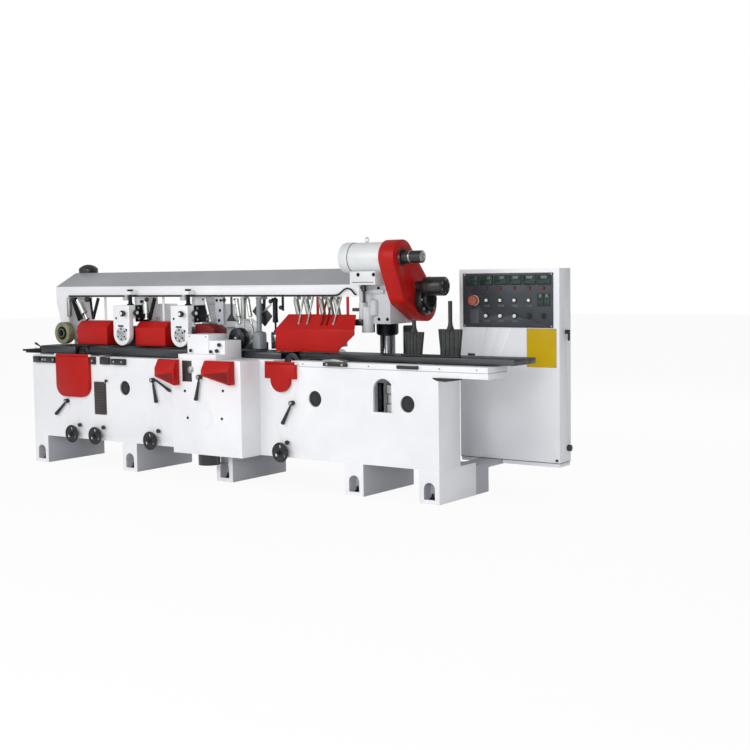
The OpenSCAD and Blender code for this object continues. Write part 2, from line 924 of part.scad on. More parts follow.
// Cabinet with its front wall bored for the controls, its hinge lugs and its cable gland
module door_lugs() {
    for (z = door_barrel_zs) {
        for (e = [z - gap - door_lug_l, z + door_barrel_l + gap]) {
            rod_z(door_hinge_s, door_hinge_depth, e, e + door_lug_l, door_barrel_r);
            block(cabinet_s + gap, door_hinge_s, back_reach - door_t - gap, door_hinge_depth, e,
                e + door_lug_l);
            block(cabinet_s - cabinet_sheet, door_hinge_s, back_reach - door_t - cabinet_sheet,
                back_reach - door_t - gap, e, e + door_lug_l);
        }
        rod_z(door_hinge_s, door_hinge_depth, z - door_lug_l, z + door_barrel_l + door_lug_l, door_pin_r);
    }
}

module control_bores() {
    rod_y(stop_s, cabinet_front - stem_l, cabinet_front + stem_l, stop_z, stop_stem_r + gap);
    for (s = button_stations)
        rod_y(s, cabinet_front - stem_l, cabinet_front + stem_l, button_z, button_stem_r + gap);
}

module cabinet_shell() {
    back = back_reach - door_t - gap;
    near = cabinet_s - cabinet_w;
    color(white) {
        difference() {
            block(near, cabinet_s, cabinet_front, back, cabinet_z, cabinet_z + cabinet_h);
            block(near + cabinet_sheet, cabinet_s - cabinet_sheet, cabinet_front + cabinet_sheet,
                back + overrun,
                cabinet_z + cabinet_sheet, cabinet_z + cabinet_h - cabinet_sheet);
            control_bores();
            rod_x(near - overrun, near + cabinet_sheet + overrun, latch_depth, latch_z, latch_stem_r + gap);
        }
        door_lugs();
        rod_x(near - gland_l, near, gland_depth, gland_z, gland_r);
    }
}

module cabinet_stand() {
    color(grey) {
        difference() {
            block(0, stand_w, nose_foot_d, stand_foot_back, 0, cabinet_z);
            block(stand_wall, stand_w - stand_wall, nose_foot_d + stand_wall, stand_foot_back - stand_wall,
                -overrun, cabinet_z - stand_arm_t);
        }
        block(0, stand_w, stand_foot_back, stand_back, cabinet_z - stand_arm_t, cabinet_z);
    }
}

module control_panel() {
    color("#33373D")
        difference() {
            block(panel_near, panel_far, cabinet_front - panel_t, cabinet_front, panel_z,
                panel_z + panel_h);
            control_bores();
        }
}

// Bracket and guide rod at the outfeed end
module outfeed_bracket() {
    top = table_z - bracket_set;
    color(black) {
        block(bed_l, bed_l + bracket_l, table_setback, table_back, top - bracket_t, top);
        block(bed_l, bed_l + bracket_l / 2, bracket_web_front, bracket_web_back,
            top - bracket_t - bracket_drop_h,
            top - bracket_t);
        rod_x(bed_l + bracket_l, bed_l + outfeed_reach, bracket_web_front, top - bracket_t / 2,
            bracket_rod_r);
    }
}

// Right side spindle unit, hung in the bed
module right_unit() {
    color(grey)
        difference() {
            union() {
                rod_z(right_s, right_depth, bed_top_in, bed_top_in + right_flange_h, right_flange_r);
                rod_z(right_s, right_depth, side_quill_z, bed_top_in, quill_r);
                rod_z(right_s, right_depth, right_motor_z, side_quill_z, motor_r);
            }
            rod_z(right_s, right_depth, side_quill_z, table_z, side_shaft_r + run_fit);
        }
}

// Vertical spindle with a round cutterhead and a nut
module side_spindle(s, d, z0) {
    color(steel) {
        rod_z(s, d, z0, side_cutter_z + side_cutter_h + side_nut_h, side_shaft_r);
        rod_z(s, d, side_cutter_z, side_cutter_z + side_cutter_h, side_cutter_r);
    }
}

module right_spindle() {
    side_spindle(right_s, right_depth, side_quill_z + spindle_tail);
}

module left_spindle() {
    side_spindle(left_s, left_depth, left_quill_z + spindle_tail);
}

// Left head: slide plate on the box, quill, hanging motor and chip hood
module left_head() {
    far = side_hood_s + side_hood_l;
    step = side_hood_s + side_hood_step;
    top = slab_z + slab_t;
    color(white)
        difference() {
            union() {
                block(side_hood_s, far, -box_d, side_hood_back, slab_z, top);
                block(left_s - side_quill_r, left_s + side_quill_r, side_hood_back, left_depth, slab_z,
                    top);
                rod_z(left_s, left_depth, left_quill_z, top, side_quill_r);
                block(side_motor_s - side_neck_w / 2, side_motor_s + side_neck_w / 2,
                    side_motor_depth - side_neck_d / 2, side_motor_depth + side_neck_d / 2,
                        side_motor_top, slab_z);
                rod_z(side_motor_s, side_motor_depth, side_motor_z, side_motor_top, side_motor_r);
                block(side_hood_s, step, side_hood_front, side_hood_back, top, top + side_hood_low_h);
                block(step, far, side_hood_front, side_hood_back, top, top + side_hood_h);
            }
            block(side_hood_s + hood_sheet, step, side_hood_front + hood_sheet,
                side_hood_back + overrun, top,
                top + side_hood_low_h - hood_sheet);
            block(step + hood_sheet, far - hood_sheet, side_hood_front + hood_sheet,
                side_hood_back + overrun, top,
                top + side_hood_h - hood_sheet);
            rod_z(left_s, left_depth, left_quill_z, table_z, side_shaft_r + run_fit);
        }
}

// Bottom spindle unit: slide slab between the ribs, quill and motor
module bottom_unit(s) {
    color(grey)
        difference() {
            union() {
                block(s - unit_w / 2, s + unit_w / 2, unit_front, unit_front + unit_slab_t,
                    unit_bottom, unit_top);
                rod_y(s, unit_quill_front, unit_quill_end, bottom_z, quill_r);
                rod_y(s, unit_front + unit_slab_t, unit_motor_end, unit_motor_z, motor_r);
            }
            rod_y(s, unit_quill_front - overrun, unit_quill_end + overrun, bottom_z, shaft_r + run_fit);
        }
}

// Horizontal spindle with cutterhead and nut
module cross_spindle(s, z, nose, tail, cut_front, cut_end, r) {
    color(steel) {
        rod_y(s, nose, tail, z, shaft_r);
        rod_y(s, cut_front, cut_end, z, r);
        rod_y(s, cut_front - nut_l, cut_front, z, nut_r);
    }
}

module bottom_spindle(s) {
    cross_spindle(s, bottom_z, bottom_nose, bottom_tail, bottom_cut_front, bottom_cut_end, cutter_r);
}

// Top head: a frame round the beam's guide, a front bearing plate, a rear quill and a motor
module top_head(s) {
    plate_back = head_front + head_plate_t;
    color(white)
        difference() {
            union() {
                rod_y(s, head_front, plate_back, top_z, head_half);
                block(s - head_half, s + head_half, head_front, plate_back, top_z, head_top);
                block(s - head_half, s + head_half, plate_back, guide_back + gap, head_arm_z, head_top);
                block(s - head_half, s + head_half, guide_back + gap, head_back, head_rear_z, head_top);
                rod_y(s, head_quill_front, head_back, top_z, quill_r);
                rod_y(s, head_back, head_motor_end, top_z, motor_r);
                rod_z(s, screw_depth, head_top, screw_top, screw_r);
                rod_z(s, screw_depth, screw_top, screw_top + screw_knob_h, screw_knob_r);
            }
            block(s - guide_half - gap, s + guide_half + gap, guide_front - gap, guide_back + gap, guide_z,
                head_top + overrun);
            rod_y(s, head_front - overrun, head_back, top_z, shaft_r + run_fit);
        }
}

module top_spindle(s) {
    color(steel) {
        rod_y(s, top_nose, top_tail, top_z, shaft_r);
        rod_y(s, top_cut_front, top_cut_end, top_z, top_cutter_r);
    }
}

// Beam: hollow sloped section, end leg over the column, guides for the heads and lugs for their screws
module beam_section(inset) {
    top = beam_z + beam_face_h;
    polygon([[fy(beam_front + inset), beam_z + inset], [fy(beam_front + inset), top - inset / 2],
        [fy(beam_front + beam_slope_d + inset / 2), top + beam_rise_h - inset],
        [fy(beam_front + beam_d - inset), top + beam_rise_h - inset],
        [fy(beam_front + beam_d - inset), beam_z + inset]]);
}

module beam_shell() {
    near = drive_s + gear_l;
    floor_top = beam_z + beam_wall;
    color(white)
        difference() {
            union() {
                difference() {
                    slab_x(near, bed_l)
                        beam_section(0);
                    slab_x(near + beam_wall, bed_l - beam_wall)
                        beam_section(beam_wall);
                }
                block(column_2_s - leg_half, bed_l, column_depth - leg_half, column_depth + leg_half, leg_z,
                    floor_top);
                slab_y(beam_front, column_depth - leg_half)
                    polygon([[sx(column_2_s - leg_half), leg_z], [sx(column_2_s - leg_half), floor_top],
                        [sx(bed_l), floor_top], [sx(bed_l), beam_z - leg_shoulder_h],
                        [sx(bed_l - leg_taper), beam_z - leg_knee_h], [sx(bed_l - leg_taper), leg_z]]);
                for (s = top_stations) {
                    block(s - guide_half, s + guide_half, guide_front, guide_back, guide_z, floor_top);
                    block(s - screw_lug_half, s + screw_lug_half, screw_depth - screw_lug_half, beam_front,
                        screw_lug_z, screw_lug_z + screw_lug_t);
                }
            }
            rod_z(column_2_s, column_depth, leg_z - overrun, beam_z, column_r + run_fit);
            for (s = top_stations)
                rod_z(s, screw_depth, screw_lug_z - overrun, screw_lug_z + screw_lug_t + overrun,
                    screw_r + gap);
        }
}

module lift_motor() {
    top = beam_z + beam_face_h + beam_rise_h;
    crown = lift_motor_h / 2;
    crown_r = (lift_motor_r * lift_motor_r + crown * crown) / (2 * crown);
    color(black)
        translate([sx(column_2_s), fy(beam_front + (beam_d + beam_slope_d) / 2), top])
            rotate_extrude()
                intersection() {
                    square([lift_motor_r, lift_motor_h]);
                    union() {
                        square([lift_motor_r, lift_motor_h - crown]);
                        translate([0, lift_motor_h - crown_r])
                            circle(r = crown_r);
                    }
                }
}

// Feed gearbox with the sleeve that rides on the infeed column
module feed_gearbox() {
    far = drive_s + gear_l;
    color(grey)
        difference() {
            union() {
                block(drive_s, far, gear_front, gear_back, gear_z, gear_top);
                rod_z(column_1_s, column_depth, gear_z - sleeve_drop_h, gear_z, sleeve_r);
                rod_z(drive_s + pod_at, gear_front, gear_z - pod_drop_h, gear_z + pod_h, pod_r);
            }
            rod_z(column_1_s, column_depth, gear_z - sleeve_drop_h - overrun, gear_top + overrun,
                column_r + run_fit);
            rod_x(drive_s - overrun, drive_shaft_end + overrun, driven_depth, driven_z,
                drive_shaft_r + run_fit);
        }
}

// Feed motor on its base, with a lifting ring
module feed_motor() {
    color(white) {
        difference() {
            union() {
                rod_x(drive_s, drive_s + feed_motor_l, motor_depth, motor_z, feed_motor_r);
                block(base_near, base_far, base_front, base_back, gear_top, gear_top + base_h);
            }
            rod_x(drive_s - overrun, drive_shaft_end + overrun, motor_depth, motor_z,
                drive_shaft_r + run_fit);
        }
        translate([sx(drive_s + feed_motor_l / 2), fy(motor_depth), motor_z + feed_motor_r + ring_r])
            rotate([90, 0, 90])
                rotate_extrude()
                    translate([ring_r, 0])
                        circle(r = ring_wire_r);
    }
}

// Outline that wraps the two pulleys, in depth and height
module pulley_wrap(small_r, large_r) {
    hull() {
        translate([fy(motor_depth), motor_z])
            circle(r = small_r, $fn = 64);
        translate([fy(driven_depth), driven_z])
            circle(r = large_r, $fn = 64);
    }
}

// Outline of the guard, wider than the belt towards its hip and its lower tip
module guard_outline(inset) {
    hull() {
        translate([fy(motor_depth), motor_z])
            circle(r = guard_small_r - inset, $fn = 64);
        translate([fy(driven_depth + guard_tip_out), driven_z - guard_tip_drop])
            circle(r = guard_large_r - inset, $fn = 64);
        translate([fy(driven_depth - guard_hip_in), driven_z + guard_hip_up])
            circle(r = guard_hip_r - inset, $fn = 64);
    }
}

module belt_guard() {
    color(black) {
        rod_x(drum_start, guard_s, drum_depth, drum_z, drum_neck_r);
        rod_x(drum_start - drum_l, drum_start, drum_depth, drum_z, drum_r);
    }
    color(red)
        difference() {
            slab_x(guard_s, drive_s)
                guard_outline(0);
            slab_x(guard_s + guard_sheet, drive_s - guard_sheet)
                guard_outline(guard_sheet);
            rod_x(guard_s - overrun, guard_s + guard_sheet + overrun, motor_depth, motor_z,
                upper_cap_r + cap_gap);
            rod_x(guard_s - overrun, guard_s + guard_sheet + overrun, driven_depth, driven_z,
                lower_cap_r + cap_gap);
            for (p = [[motor_depth, motor_z], [driven_depth, driven_z]])
                rod_x(drive_s - guard_sheet - overrun, drive_s + overrun, p[0], p[1],
                    drive_shaft_r + shaft_hole_gap);
        }
}

module drive_belt() {
    color(black)
        difference() {
            slab_x(belt_s - belt_w / 2, belt_s + belt_w / 2)
                pulley_wrap(motor_pulley_r + gap + belt_t, driven_pulley_r + gap + belt_t);
            slab_x(belt_s - belt_w / 2 - overrun, belt_s + belt_w / 2 + overrun)
                pulley_wrap(motor_pulley_r + gap, driven_pulley_r + gap);
        }
}

// Flanged pulley with its shaft and the round cap outside the guard
module pulley(d, z, r, cap_r, cap_l) {
    half = belt_w / 2 + gap;
    color(black) {
        rod_x(belt_s, drive_shaft_end, d, z, drive_shaft_r);
        rod_x(belt_s - half, belt_s + half, d, z, r);
        for (e = [belt_s - half - pulley_flange, belt_s + half])
            rod_x(e, e + pulley_flange, d, z, r + pulley_rim);
        rod_x(guard_s - cap_l, belt_s, d, z, cap_r);
    }
}

module motor_pulley() {
    pulley(motor_depth, motor_z, motor_pulley_r, upper_cap_r, upper_cap_l);
}

module driven_pulley() {
    pulley(driven_depth, driven_z, driven_pulley_r, lower_cap_r, lower_cap_l);
}

// Ring of the air line at one point of its route, square to the route
function unit(v) = v / norm(v);
function air_point(i) = [sx(air_route[i][0]), fy(air_route[i][1]), air_route[i][2]];
function air_heading(i) =
    unit(air_point(min(i + 1, len(air_route) - 1)) - air_point(max(i - 1, 0)));
function air_ring(i) =
    let (t = air_heading(i), u = unit(cross([0, 0, 1], t)), v = cross(t, u))
    [for (k = [0 : air_sides - 1])
        let (a = 360 * k / air_sides)
        air_point(i) + air_r * (cos(a) * u + sin(a) * v)];

module air_line() {
    rings = len(air_route);
    points = [for (i = [0 : rings - 1]) each air_ring(i)];
    sides = [for (i = [0 : rings - 2], k = [0 : air_sides - 1])
        let (a = i * air_sides + k, b = i * air_sides + (k + 1) % air_sides)
        each [[a, a + air_sides, b], [b, a + air_sides, b + air_sides]]];
    first = [[for (k = [0 : air_sides - 1]) k]];
    last = [[for (k = [air_sides - 1 : -1 : 0]) (rings - 1) * air_sides + k]];
    color(black)
        polyhedron(points = points, faces = concat(sides, first, last));
}

// Place and lean of the infeed carrier's rods
module infeed_rods() {
    for (share = infeed_rod_shares)
        translate([sx(yoke_near + share * (yoke_far - yoke_near)), fy(rod_depth), steel_axis_z + arm_above])
            rotate([0, -tilt, 0])
                children();
}

// Upright air cylinder, bored for its rod and hung from the beam by a lug
module air_cylinder(s) {
    difference() {
        union() {
            rod_z(s, rod_depth, barrel_z, beam_z - barrel_crown, cylinder_r);
            block(s - lug_half, s + lug_half, rod_depth, lug_back, beam_z - lug_t, beam_z);
        }
        rod_z(s, rod_depth, barrel_z - overrun, rod_top + rod_play, rod_r + gap);
    }
}

module air_cylinders() {
    infeed_barrel_l = (beam_z - steel_axis_z - arm_above) / cos(tilt) - infeed_barrel_at - cylinder_r;
    lug_shift = (beam_z - steel_axis_z - arm_above) * tan(tilt);
    color(steel) {
        air_cylinder(roller_1_s);
        air_cylinder(roller_2_s);
        difference() {
            union() {
                infeed_rods()
                    translate([0, 0, infeed_barrel_at])
                        cylinder(h = infeed_barrel_l, r = cylinder_r);
                for (share = infeed_rod_shares) {
                    mid = yoke_near + share * (yoke_far - yoke_near) + lug_shift;
                    block(mid - lug_half, mid + lug_half, rod_depth, lug_back, beam_z - lug_t, beam_z);
                }
            }
            infeed_rods()
                cylinder(h = infeed_rod_l + rod_play, r = rod_r + gap);
        }
    }
}

// Roller carriers: a bearing block under a rod, and one wide yoke for the two infeed rollers
module roller_block(s0, s1, axis_z, stations) {
    difference() {
        block(s0, s1, arm_front, beam_front, axis_z - arm_below, axis_z + arm_above);
        for (s = stations)
            rod_y(s, arm_front - overrun, beam_front + overrun, axis_z, roller_shaft_r + run_fit);
    }
}

module roller_arm(s, axis_z) {
    color(grey) {
        roller_block(s - arm_half, s + arm_half, axis_z, [s]);
        rod_z(s, rod_depth, axis_z + arm_above, rod_top, rod_r);
    }
}

module roller_arm_3() {
    color(grey) {
        roller_block(yoke_near, yoke_far, steel_axis_z, [roller_3_s, roller_4_s]);
        difference() {
            infeed_rods()
                translate([0, 0, -arm_above])
                    cylinder(h = infeed_rod_l + arm_above, r = rod_r);
            block(yoke_near, yoke_far, arm_front - overrun, beam_front + overrun,
                steel_axis_z - arm_below - overrun,
                steel_axis_z + arm_above);
        }
    }
}

module feed_roller(s, axis_z, r, tint) {
    color(tint) {
        rod_y(s, roller_front, roller_front + roller_w, axis_z, r);
        rod_y(s, roller_shaft_front, arm_front - gap, axis_z, roller_hub_r);
        rod_y(s, roller_shaft_front, roller_shaft_end, axis_z, roller_shaft_r);
    }
}

// Infeed hood: folded sheet with a slanted lead-in, hung from the beam by straps
module infeed_hood() {
    sheet = hood_sheet;
    bevel = (infeed_hood_top - infeed_hood_fold) / 2;
    color(red) {
        slab_y(infeed_hood_front, infeed_hood_front + sheet)
            polygon([[sx(infeed_hood_far), infeed_hood_z], [sx(infeed_hood_s), infeed_hood_z],
                [sx(infeed_hood_near), infeed_hood_tip], [sx(infeed_hood_near), infeed_hood_fold],
                [sx(infeed_hood_far), infeed_hood_fold]]);
        intersection() {
            slab_x(infeed_hood_near, infeed_hood_far)
                polygon([[fy(infeed_hood_front), infeed_hood_fold], [fy(infeed_hood_front + sheet),
                    infeed_hood_fold],
                    [fy(infeed_hood_back), infeed_hood_top - sheet], [fy(infeed_hood_back),
                        infeed_hood_top],
                    [fy(infeed_hood_back - sheet), infeed_hood_top]]);
            slab_y(infeed_hood_front - overrun, infeed_hood_back + overrun)
                polygon([[sx(infeed_hood_far), infeed_hood_fold - overrun],
                    [sx(infeed_hood_near), infeed_hood_fold - overrun], [sx(infeed_hood_near),
                        infeed_hood_fold],
                    [sx(infeed_hood_near + bevel), infeed_hood_top + overrun],
                    [sx(infeed_hood_far - bevel - overrun), infeed_hood_top + overrun],
                    [sx(infeed_hood_far), infeed_hood_fold]]);
        }
        slab_x(infeed_hood_far - sheet, infeed_hood_far)
            polygon([[fy(infeed_hood_front + sheet), infeed_hood_z], [fy(infeed_hood_back - sheet),
                infeed_hood_z],
                [fy(infeed_hood_back - sheet), infeed_hood_fold], [fy(infeed_hood_front + sheet),
                    infeed_hood_fold]]);
        floor_l = infeed_hood_far - infeed_hood_near - bevel * 2;
        for (mid = [roller_4_s - strap_1_back, infeed_hood_near + bevel + strap_2_share * floor_l]) {
            block(mid - strap_w / 2, mid + strap_w / 2, infeed_hood_back, beam_front + strap_t,
                infeed_hood_top - strap_t, infeed_hood_top);
            block(mid - strap_w / 2, mid + strap_w / 2, beam_front, beam_front + strap_t,
                infeed_hood_top, beam_z);
        }
    }
}

// Chip hoods beside the top heads: bevelled boxes, open below and behind, hung by straps
module chip_section(inset) {
    polygon([[fy(chip_front + inset), chip_z - inset], [fy(chip_front + inset),
        chip_top - chip_bevel_d - inset / 2],
        [fy(chip_front + chip_bevel_d + inset / 2), chip_top - inset], [fy(chip_back + inset),
            chip_top - inset],
        [fy(chip_back + inset), chip_z - inset]]);
}

module chip_hood(s, l) {
    mid = s + l / 2;
    difference() {
        slab_x(s, s + l)
            chip_section(0);
        slab_x(s + hood_sheet, s + l - hood_sheet)
            chip_section(hood_sheet);
    }
    block(mid - strap_w / 2, mid + strap_w / 2, chip_strap_depth, chip_strap_depth + strap_t, chip_top,
        beam_z);
}

module chip_hoods() {
    color(red)
        for (i = [0, 1])
            chip_hood(chip_stations[i], chip_lengths[i]);
}

// Infeed table on two lift posts
module infeed_table() {
    bottom = table_z - infeed_plate_t;
    color(iron) {
        block(-infeed_reach, bottom_1_s - throat_w / 2 - throat_gap, table_setback, table_back, bottom,
            table_z);
        for (s = post_stations)
            rod_z(s, post_depth, post_bottom, bottom, post_r);
    }
}

// Side guides: a base bar with two ribbed paddles, each on a flared stem
module paddle(s, w, h, base, tip) {
    slab_y(guide_bar_front, guide_bar_front + paddle_t)
        polygon([[sx(s + w / 2 - paddle_taper), base], [sx(s - w / 2 + paddle_taper), base],
            [sx(s - w / 2), base + h], [sx(s + w / 2), base + h]]);
    room = w - paddle_taper * 2 - rib_t;
    pitch = room / (paddle_ribs - 1);
    for (k = [0 : paddle_ribs - 1]) {
        mid = s - room / 2 + k * pitch;
        block(mid - rib_t / 2, mid + rib_t / 2, guide_bar_front - rib_t, guide_bar_front, base,
            base + h);
    }
    translate([sx(s), fy(guide_bar_front + paddle_t / 2), base + h]) {
        cylinder(h = stem_flare_h, r1 = paddle_t / 2, r2 = stem_r);
        cylinder(h = tip - base - h, r = stem_r);
    }
}

module side_guides() {
    base = table_z + gap + guide_bar_t;
    color(black) {
        block(guide_bar_near, guide_bar_far, guide_bar_front, guide_bar_back, table_z + gap, base);
        for (i = [0, 1])
            paddle(paddle_stations[i], paddle_widths[i], paddle_heights[i], base, stem_tops[i]);
    }
}

// Red shields: shallow pans under a hinge barrel
module pan(d) {
    difference() {
        slab_y(-d, -gap)
            children();
        slab_y(shield_sheet - d, overrun)
            offset(delta = -shield_sheet)
                children();
    }
}

module shield_barrel(s0, s1) {
    difference() {
        union() {
            rod_x(s0, s1, hinge_depth, hinge_z, hinge_r);
            block(s0, s1, hinge_depth - shield_sheet / 2, hinge_depth + shield_sheet / 2, shield_top,
                hinge_z);
        }
        rod_x(s0 - overrun, s1 + overrun, hinge_depth, hinge_z, hinge_pin_r + run_fit);
    }
}

module left_shield() {
    far = left_shield_s + left_shield_l;
    corner = left_shield_corner_r;
    color(red) {
        pan(shield_d)
            difference() {
                polygon([[sx(far), left_shield_z], [sx(left_shield_s), left_shield_z],
                    [sx(left_shield_s), shield_top],
                    [sx(far), shield_top]]);
                for (e = [[far, -1], [left_shield_s, 1]])
                    difference() {
                        translate([sx(e[0] + e[1] * corner / 2), left_shield_z + corner / 2])
                            square(corner, center = true);
                        translate([sx(e[0] + e[1] * corner), left_shield_z + corner])
                            circle(r = corner);
                    }
            }
        shield_barrel(left_shield_s, far);
    }
}

module right_shield() {
    far = right_shield_s + right_shield_l;
    mid = right_shield_s + right_shield_l / 2;
    lower_r = right_shield_l / 2 - right_shield_inset;
    color(red) {
        pan(shield_d)
            union() {
                translate([sx(far), right_shield_step])
                    square([right_shield_l, shield_top - right_shield_step]);
                translate([sx(mid + lower_r), right_shield_z + lower_r])
                    square([lower_r * 2, right_shield_step - right_shield_z - lower_r + overrun]);
                translate([sx(mid), right_shield_z + lower_r])
                    circle(r = lower_r);
            }
        shield_barrel(right_shield_s, far);
    }
}

// Handwheel: hub, webbed rim, crank grip and a shaft through the front wall
module handwheel(s) {
    color(black) {
        rod_y(s, -gap, wheel_shaft_end, wheel_z, wheel_shaft_r);
        rod_y(s, -wheel_hub_l, -gap, wheel_z, wheel_hub_r);
        difference() {
            rod_y(s, -wheel_web_at - wheel_web_t / 2, wheel_web_t / 2 - wheel_web_at, wheel_z,
                wheel_r - wheel_rim_r);
            for (a = [0 : 120 : 240])
                translate([sx(s), fy(-wheel_web_at), wheel_z])
                    rotate([0, a, 0])
                        translate([0, wheel_web_t, (wheel_r - wheel_rim_r + wheel_hub_r) / 2])
                            rotate([90, 0, 0])
                                cylinder(h = wheel_web_t * 2, r = wheel_hole_r);
        }
        translate([sx(s), fy(-wheel_web_at), wheel_z])
            rotate([90, 0, 0])
                rotate_extrude()
                    translate([wheel_r - wheel_rim_r, 0])
                        circle(r = wheel_rim_r);
        translate([sx(s), fy(-wheel_web_at), wheel_z])
            rotate([0, 60, 0])
                translate([0, 0, wheel_r - wheel_rim_r])
                    rotate([90, 0, 0])
                        cylinder(h = wheel_grip_l, r = wheel_grip_r);
    }
}

// Clamp lever: hub on a pin, a straight arm and a ball grip
module clamp_lever(i) {
    from = lever_pivots[i];
    face = lever_faces[i];
    color(black) {
        rod_y(from[0], face - gap, face + lever_pin_end, from[1], lever_pin_r);
        rod_y(from[0], face - lever_hub_l, face - gap, from[1], lever_hub_r);
        translate([sx(from[0]), fy(face - lever_hub_l / 2), from[1]])
            rotate([0, 180 + lever_leans[i], 0]) {
                cylinder(h = lever_l, r = lever_arm_r);
                translate([0, 0, lever_l])
                    sphere(r = lever_ball_r);
            }
    }
}

// Rear door on two hinge barrels
module cabinet_door() {
    near = cabinet_s - cabinet_w;
    color(white)
        difference() {
            union() {
                block(near, cabinet_s, back_reach - door_t, back_reach, cabinet_z, cabinet_z + cabinet_h);
                for (z = door_barrel_zs) {
                    rod_z(door_hinge_s, door_hinge_depth, z, z + door_barrel_l, door_barrel_r);
                    block(cabinet_s, door_hinge_s, door_hinge_depth, back_reach, z, z + door_barrel_l);
                }
            }
            for (z = door_barrel_zs)
                rod_z(door_hinge_s, door_hinge_depth, z - overrun, z + door_barrel_l + overrun,
                    door_pin_r + run_fit);
        }
}

// Quarter-turn latch on the cabinet's side
module door_latch() {
    side = cabinet_s - cabinet_w;
    color(black) {
        rod_x(side - latch_hub_l, side - gap, latch_depth, latch_z, latch_hub_r);
        rod_x(side - gap, side + latch_hub_l, latch_depth, latch_z, latch_stem_r);
        block(side - latch_hub_l - latch_bar_t, side - latch_hub_l, latch_depth - latch_bar_w / 2,
            latch_depth + latch_bar_w / 2, latch_z - latch_bar_h + latch_hub_r, latch_z + latch_hub_r);
    }
}

// Push controls: a cap on a stem through the panel and the cabinet's front wall
module push_control(s, z, cap_r, cap_l, cap_gap_l, stem, tint) {
    face = cabinet_front - panel_t - cap_gap_l;
    color(tint) {
        rod_y(s, face - cap_l, face, z, cap_r);
        rod_y(s, face, face + stem_l, z, stem);
    }
}

module emergency_stop() {
    push_control(stop_s, stop_z, stop_r, stop_l, stop_gap, stop_stem_r, red);
}

module push_button(i) {
    push_control(button_stations[i], button_z, button_r, button_l, button_gap, button_stem_r, white);
}

bed_casting();
bed_feet();
side_head_box();
bed_table();
fence_rail();
lift_columns();
side_head_guards();
cabinet_shell();
cabinet_stand();
control_panel();
outfeed_bracket();
right_unit();
beam_shell();
feed_gearbox();
feed_motor();
belt_guard();
drive_belt();
air_line();
air_cylinders();
infeed_hood();
chip_hoods();
lift_motor();
roller_arm(roller_1_s, soft_axis_z);  // roller_arm_1
roller_arm(roller_2_s, steel_axis_z);  // roller_arm_2
roller_arm_3();
feed_roller(roller_1_s, soft_axis_z, soft_roller_r,  // feed_roller_1
    "#7E8060");
feed_roller(roller_2_s, steel_axis_z, steel_roller_r, iron);  // feed_roller_2
feed_roller(roller_3_s, steel_axis_z, steel_roller_r, iron);  // feed_roller_3
feed_roller(roller_4_s, steel_axis_z, steel_roller_r, iron);  // feed_roller_4
top_head(top_1_s);  // top_head_1
top_head(top_2_s);  // top_head_2
top_spindle(top_1_s);  // top_spindle_1
top_spindle(top_2_s);  // top_spindle_2
motor_pulley();
driven_pulley();
infeed_table();
side_guides();
left_shield();
right_shield();
bottom_unit(bottom_1_s);  // bottom_unit_1
bottom_unit(bottom_2_s);  // bottom_unit_2
bottom_spindle(bottom_1_s);  // bottom_spindle_1
bottom_spindle(bottom_2_s);  // bottom_spindle_2
right_spindle();
left_head();
left_spindle();
handwheel(wheel_stations[0]);  // handwheel_1
handwheel(wheel_stations[1]);  // handwheel_2
handwheel(wheel_stations[2]);  // handwheel_3
handwheel(wheel_stations[3]);  // handwheel_4
clamp_lever(0);  // clamp_lever_1
clamp_lever(1);  // clamp_lever_2
clamp_lever(2);  // clamp_lever_3
clamp_lever(3);  // clamp_lever_4
cabinet_door();
door_latch();
emergency_stop();
push_button(0);  // push_button_1
push_button(1);  // push_button_2
push_button(2);  // push_button_3
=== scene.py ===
"""A four sided moulder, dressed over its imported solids.

Places are station, depth and height in mm: from the bed's infeed end, its front face and the floor."""
import json
import math
from contextlib import contextmanager

import bpy
from mathutils import Matrix, Vector


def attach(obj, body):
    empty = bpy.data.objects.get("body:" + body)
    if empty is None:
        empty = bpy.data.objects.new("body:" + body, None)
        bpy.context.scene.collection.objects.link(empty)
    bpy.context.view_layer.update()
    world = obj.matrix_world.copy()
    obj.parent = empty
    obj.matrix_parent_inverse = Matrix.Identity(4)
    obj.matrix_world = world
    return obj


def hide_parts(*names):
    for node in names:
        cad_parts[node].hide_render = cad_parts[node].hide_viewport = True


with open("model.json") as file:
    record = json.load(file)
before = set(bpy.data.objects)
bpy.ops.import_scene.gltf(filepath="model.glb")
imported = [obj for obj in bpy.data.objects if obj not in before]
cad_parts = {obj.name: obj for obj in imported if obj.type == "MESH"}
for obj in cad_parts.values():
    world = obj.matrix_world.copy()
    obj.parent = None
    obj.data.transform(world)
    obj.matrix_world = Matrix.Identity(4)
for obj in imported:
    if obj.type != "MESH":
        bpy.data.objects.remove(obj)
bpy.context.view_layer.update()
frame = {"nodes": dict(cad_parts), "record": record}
MM = 0.001
CREASE = math.radians(35)

# Camera, as fitted to the photograph
CAMERA_PLACE = (5.93155, -6.75559, 1.39828)
CAMERA_YAW, CAMERA_PITCH, CAMERA_ROLL = math.radians(35.85), math.radians(4.54), math.radians(-0.86)
FOCAL_PX, PHOTO_PX, SENSOR_MM = 1294.05, 750, 36

# Faces and axes of the solids that pieces are placed from
BED_RIGHT, BED_FRONT = 1745, -320
BED_BACK = 720
BOX_FACE = -190
HOOD_FACE = -100
BEAM_FLOOR, BEAM_BACK = 1243, 600
TOP_HEADS = ((1, 2222), (2, 2804))
HEAD_FACE, HEAD_AXIS = 106, 978
ROLLER_AXIS = 962
MOTOR_D, MOTOR_Z = 235, 1490
DRIVEN_D, DRIVEN_Z = 455, 1222
DRUM_D, DRUM_Z = 392, 1305
GUARD_SIDE = 404.8
PANEL_FACE, DOOR_FACE = 736, 890


